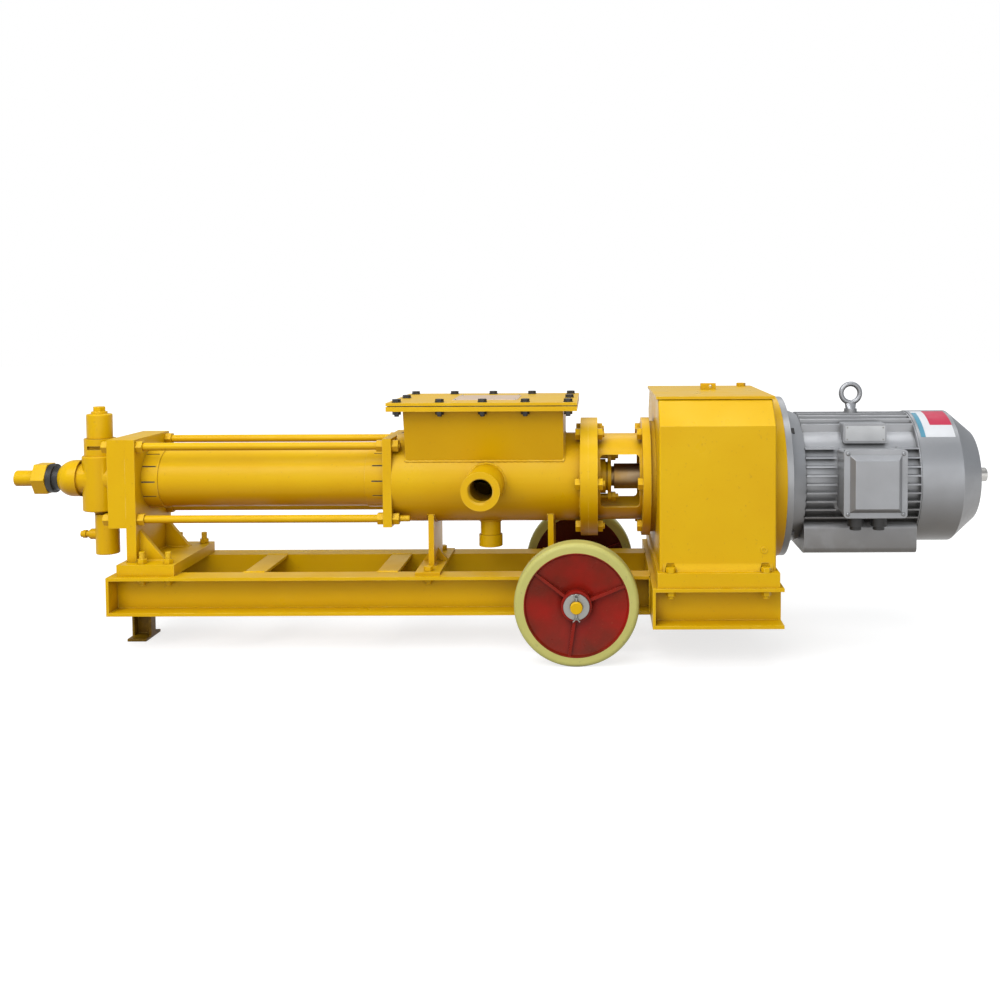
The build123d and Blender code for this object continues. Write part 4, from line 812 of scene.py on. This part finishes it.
def terminal_gasket():
    """Rubber seal that shows as a line between the terminal box and its lid."""
    shape = Shape()
    inset = 0.0015
    shape.block(
        (box_low.x + inset, box_low.y - 0.0006, box_low.z + inset),
        (box_high.x - inset, box_low.y + 0.0010, box_high.z - inset),
    )
    shape.place("terminal_gasket", "black_rubber", smooth=False)


chassis_welds()
housing_welds()
support_welds()
stud_threads()
port_thread()
terminal_lid_screws()
fan_cover_screws()
shield_slots()
lid_washers()
cotter_ends()
gearbox_plug()
lid_plate()
motor_plate()
plate_rivets()
cover_sticker()
stator_slots()
terminal_gasket()


# ---- Floor, light and camera ----
def seen_directly(tree):
    """1 for rays from the camera, mirrors and glass, and 0 for light that bounces."""
    path = tree.nodes.new("ShaderNodeLightPath")
    total = path.outputs["Is Camera Ray"]
    for key in ("Is Glossy Ray", "Is Transmission Ray"):
        node = tree.nodes.new("ShaderNodeMath")
        node.operation = "MAXIMUM"
        tree.links.new(total, node.inputs[0])
        tree.links.new(path.outputs[key], node.inputs[1])
        total = node.outputs[0]
    return total


def make_floor():
    """Pale floor that looks white from the camera and keeps the object's shadow."""
    mesh = bpy.data.meshes.new("floor")
    reach = 14.0
    corners = [(-reach, -reach, 0), (reach, -reach, 0), (reach, reach, 0), (-reach, reach, 0)]
    mesh.from_pydata(corners, [], [(0, 1, 2, 3)])
    floor = bpy.data.objects.new("floor", mesh)
    bpy.context.scene.collection.objects.link(floor)
    material = bpy.data.materials.new("floor")
    material.use_nodes = True
    tree = material.node_tree
    tree.nodes.clear()
    output = tree.nodes.new("ShaderNodeOutputMaterial")
    grey = tree.nodes.new("ShaderNodeBsdfDiffuse")
    grey.inputs["Color"].default_value = (0.36, 0.36, 0.36, 1.0)
    glow = tree.nodes.new("ShaderNodeEmission")
    glow.inputs["Color"].default_value = (1.0, 1.0, 1.0, 1.0)
    place = tree.nodes.new("ShaderNodeTexCoord")
    distance = tree.nodes.new("ShaderNodeVectorMath")
    distance.operation = "LENGTH"
    # Glows fully from 2.4 m out, so that the far edge of the floor melts into the white world
    fade = tree.nodes.new("ShaderNodeMapRange")
    for key, number in (("From Min", 0.9), ("From Max", 2.4), ("To Min", 0.74), ("To Max", 1.0)):
        fade.inputs[key].default_value = number
    tree.links.new(place.outputs["Object"], distance.inputs[0])
    tree.links.new(distance.outputs["Value"], fade.inputs["Value"])
    tree.links.new(fade.outputs["Result"], glow.inputs["Strength"])
    lit = tree.nodes.new("ShaderNodeAddShader")
    mix = tree.nodes.new("ShaderNodeMixShader")
    tree.links.new(grey.outputs[0], lit.inputs[0])
    tree.links.new(glow.outputs[0], lit.inputs[1])
    tree.links.new(seen_directly(tree), mix.inputs["Fac"])
    tree.links.new(grey.outputs[0], mix.inputs[1])
    tree.links.new(lit.outputs[0], mix.inputs[2])
    tree.links.new(mix.outputs[0], output.inputs["Surface"])
    mesh.materials.append(material)


def make_world():
    """White behind the object, and a soft grey light from all round."""
    world = bpy.data.worlds.new("studio")
    bpy.context.scene.world = world
    world.use_nodes = True
    tree = world.node_tree
    tree.nodes.clear()
    output = tree.nodes.new("ShaderNodeOutputWorld")
    white = tree.nodes.new("ShaderNodeBackground")
    white.inputs["Color"].default_value = (1.0, 1.0, 1.0, 1.0)
    white.inputs["Strength"].default_value = 1.0
    fill = tree.nodes.new("ShaderNodeBackground")
    fill.inputs["Color"].default_value = (0.93, 0.96, 1.0, 1.0)
    fill.inputs["Strength"].default_value = 0.50
    mix = tree.nodes.new("ShaderNodeMixShader")
    path = tree.nodes.new("ShaderNodeLightPath")
    tree.links.new(path.outputs["Is Camera Ray"], mix.inputs["Fac"])
    tree.links.new(fill.outputs[0], mix.inputs[1])
    tree.links.new(white.outputs[0], mix.inputs[2])
    tree.links.new(mix.outputs[0], output.inputs["Surface"])


def softbox(name, place, target, width, height, power):
    """Rectangular studio lamp aimed at target."""
    lamp = bpy.data.lights.new(name, "AREA")
    lamp.shape = "RECTANGLE"
    lamp.size = width
    lamp.size_y = height
    lamp.energy = power
    light = bpy.data.objects.new(name, lamp)
    bpy.context.scene.collection.objects.link(light)
    light.location = place
    light.rotation_euler = (Vector(target) - Vector(place)).to_track_quat("-Z", "Y").to_euler()


def make_camera():
    """Camera where the picture of the pump was taken from."""
    camera_data = bpy.data.cameras.new("camera")
    camera_data.sensor_width = 36.0
    camera_data.lens = 38.597
    camera_data.shift_x = -0.0947
    camera_data.shift_y = -0.1308
    camera_data.clip_start = 0.05
    camera_data.clip_end = 60.0
    camera = bpy.data.objects.new("camera", camera_data)
    bpy.context.scene.collection.objects.link(camera)
    position = (0.21043, -2.36659, 0.70491)
    pitch, yaw, roll = 0.0467, 0.0008, -0.0041
    forward = Vector((-sin(yaw) * cos(pitch), cos(yaw) * cos(pitch), -sin(pitch)))
    right = Vector((cos(yaw), sin(yaw), 0))
    up = right.cross(forward)
    rolled_right = right * cos(roll) + up * sin(roll)
    rolled_up = up * cos(roll) - right * sin(roll)
    turn = Matrix((rolled_right, rolled_up, -forward)).transposed().to_4x4()
    camera.matrix_world = Matrix.Translation(position) @ turn
    bpy.context.scene.camera = camera


make_floor()
make_world()
middle = (0.0, 0.0, 0.3)
softbox("key", (-1.2, -2.5, 2.6), middle, width=3.2, height=1.8, power=92.0)
softbox("top", (0.2, -0.6, 3.1), middle, width=3.6, height=0.6, power=34.0)
softbox("front", (0.4, -3.6, 1.0), (0.0, 0.0, 0.25), width=4.6, height=2.0, power=40.0)
softbox("back", (0.3, 2.6, 3.1), middle, width=3.6, height=1.6, power=34.0)
make_camera()

bpy.context.scene.view_settings.view_transform = "Standard"
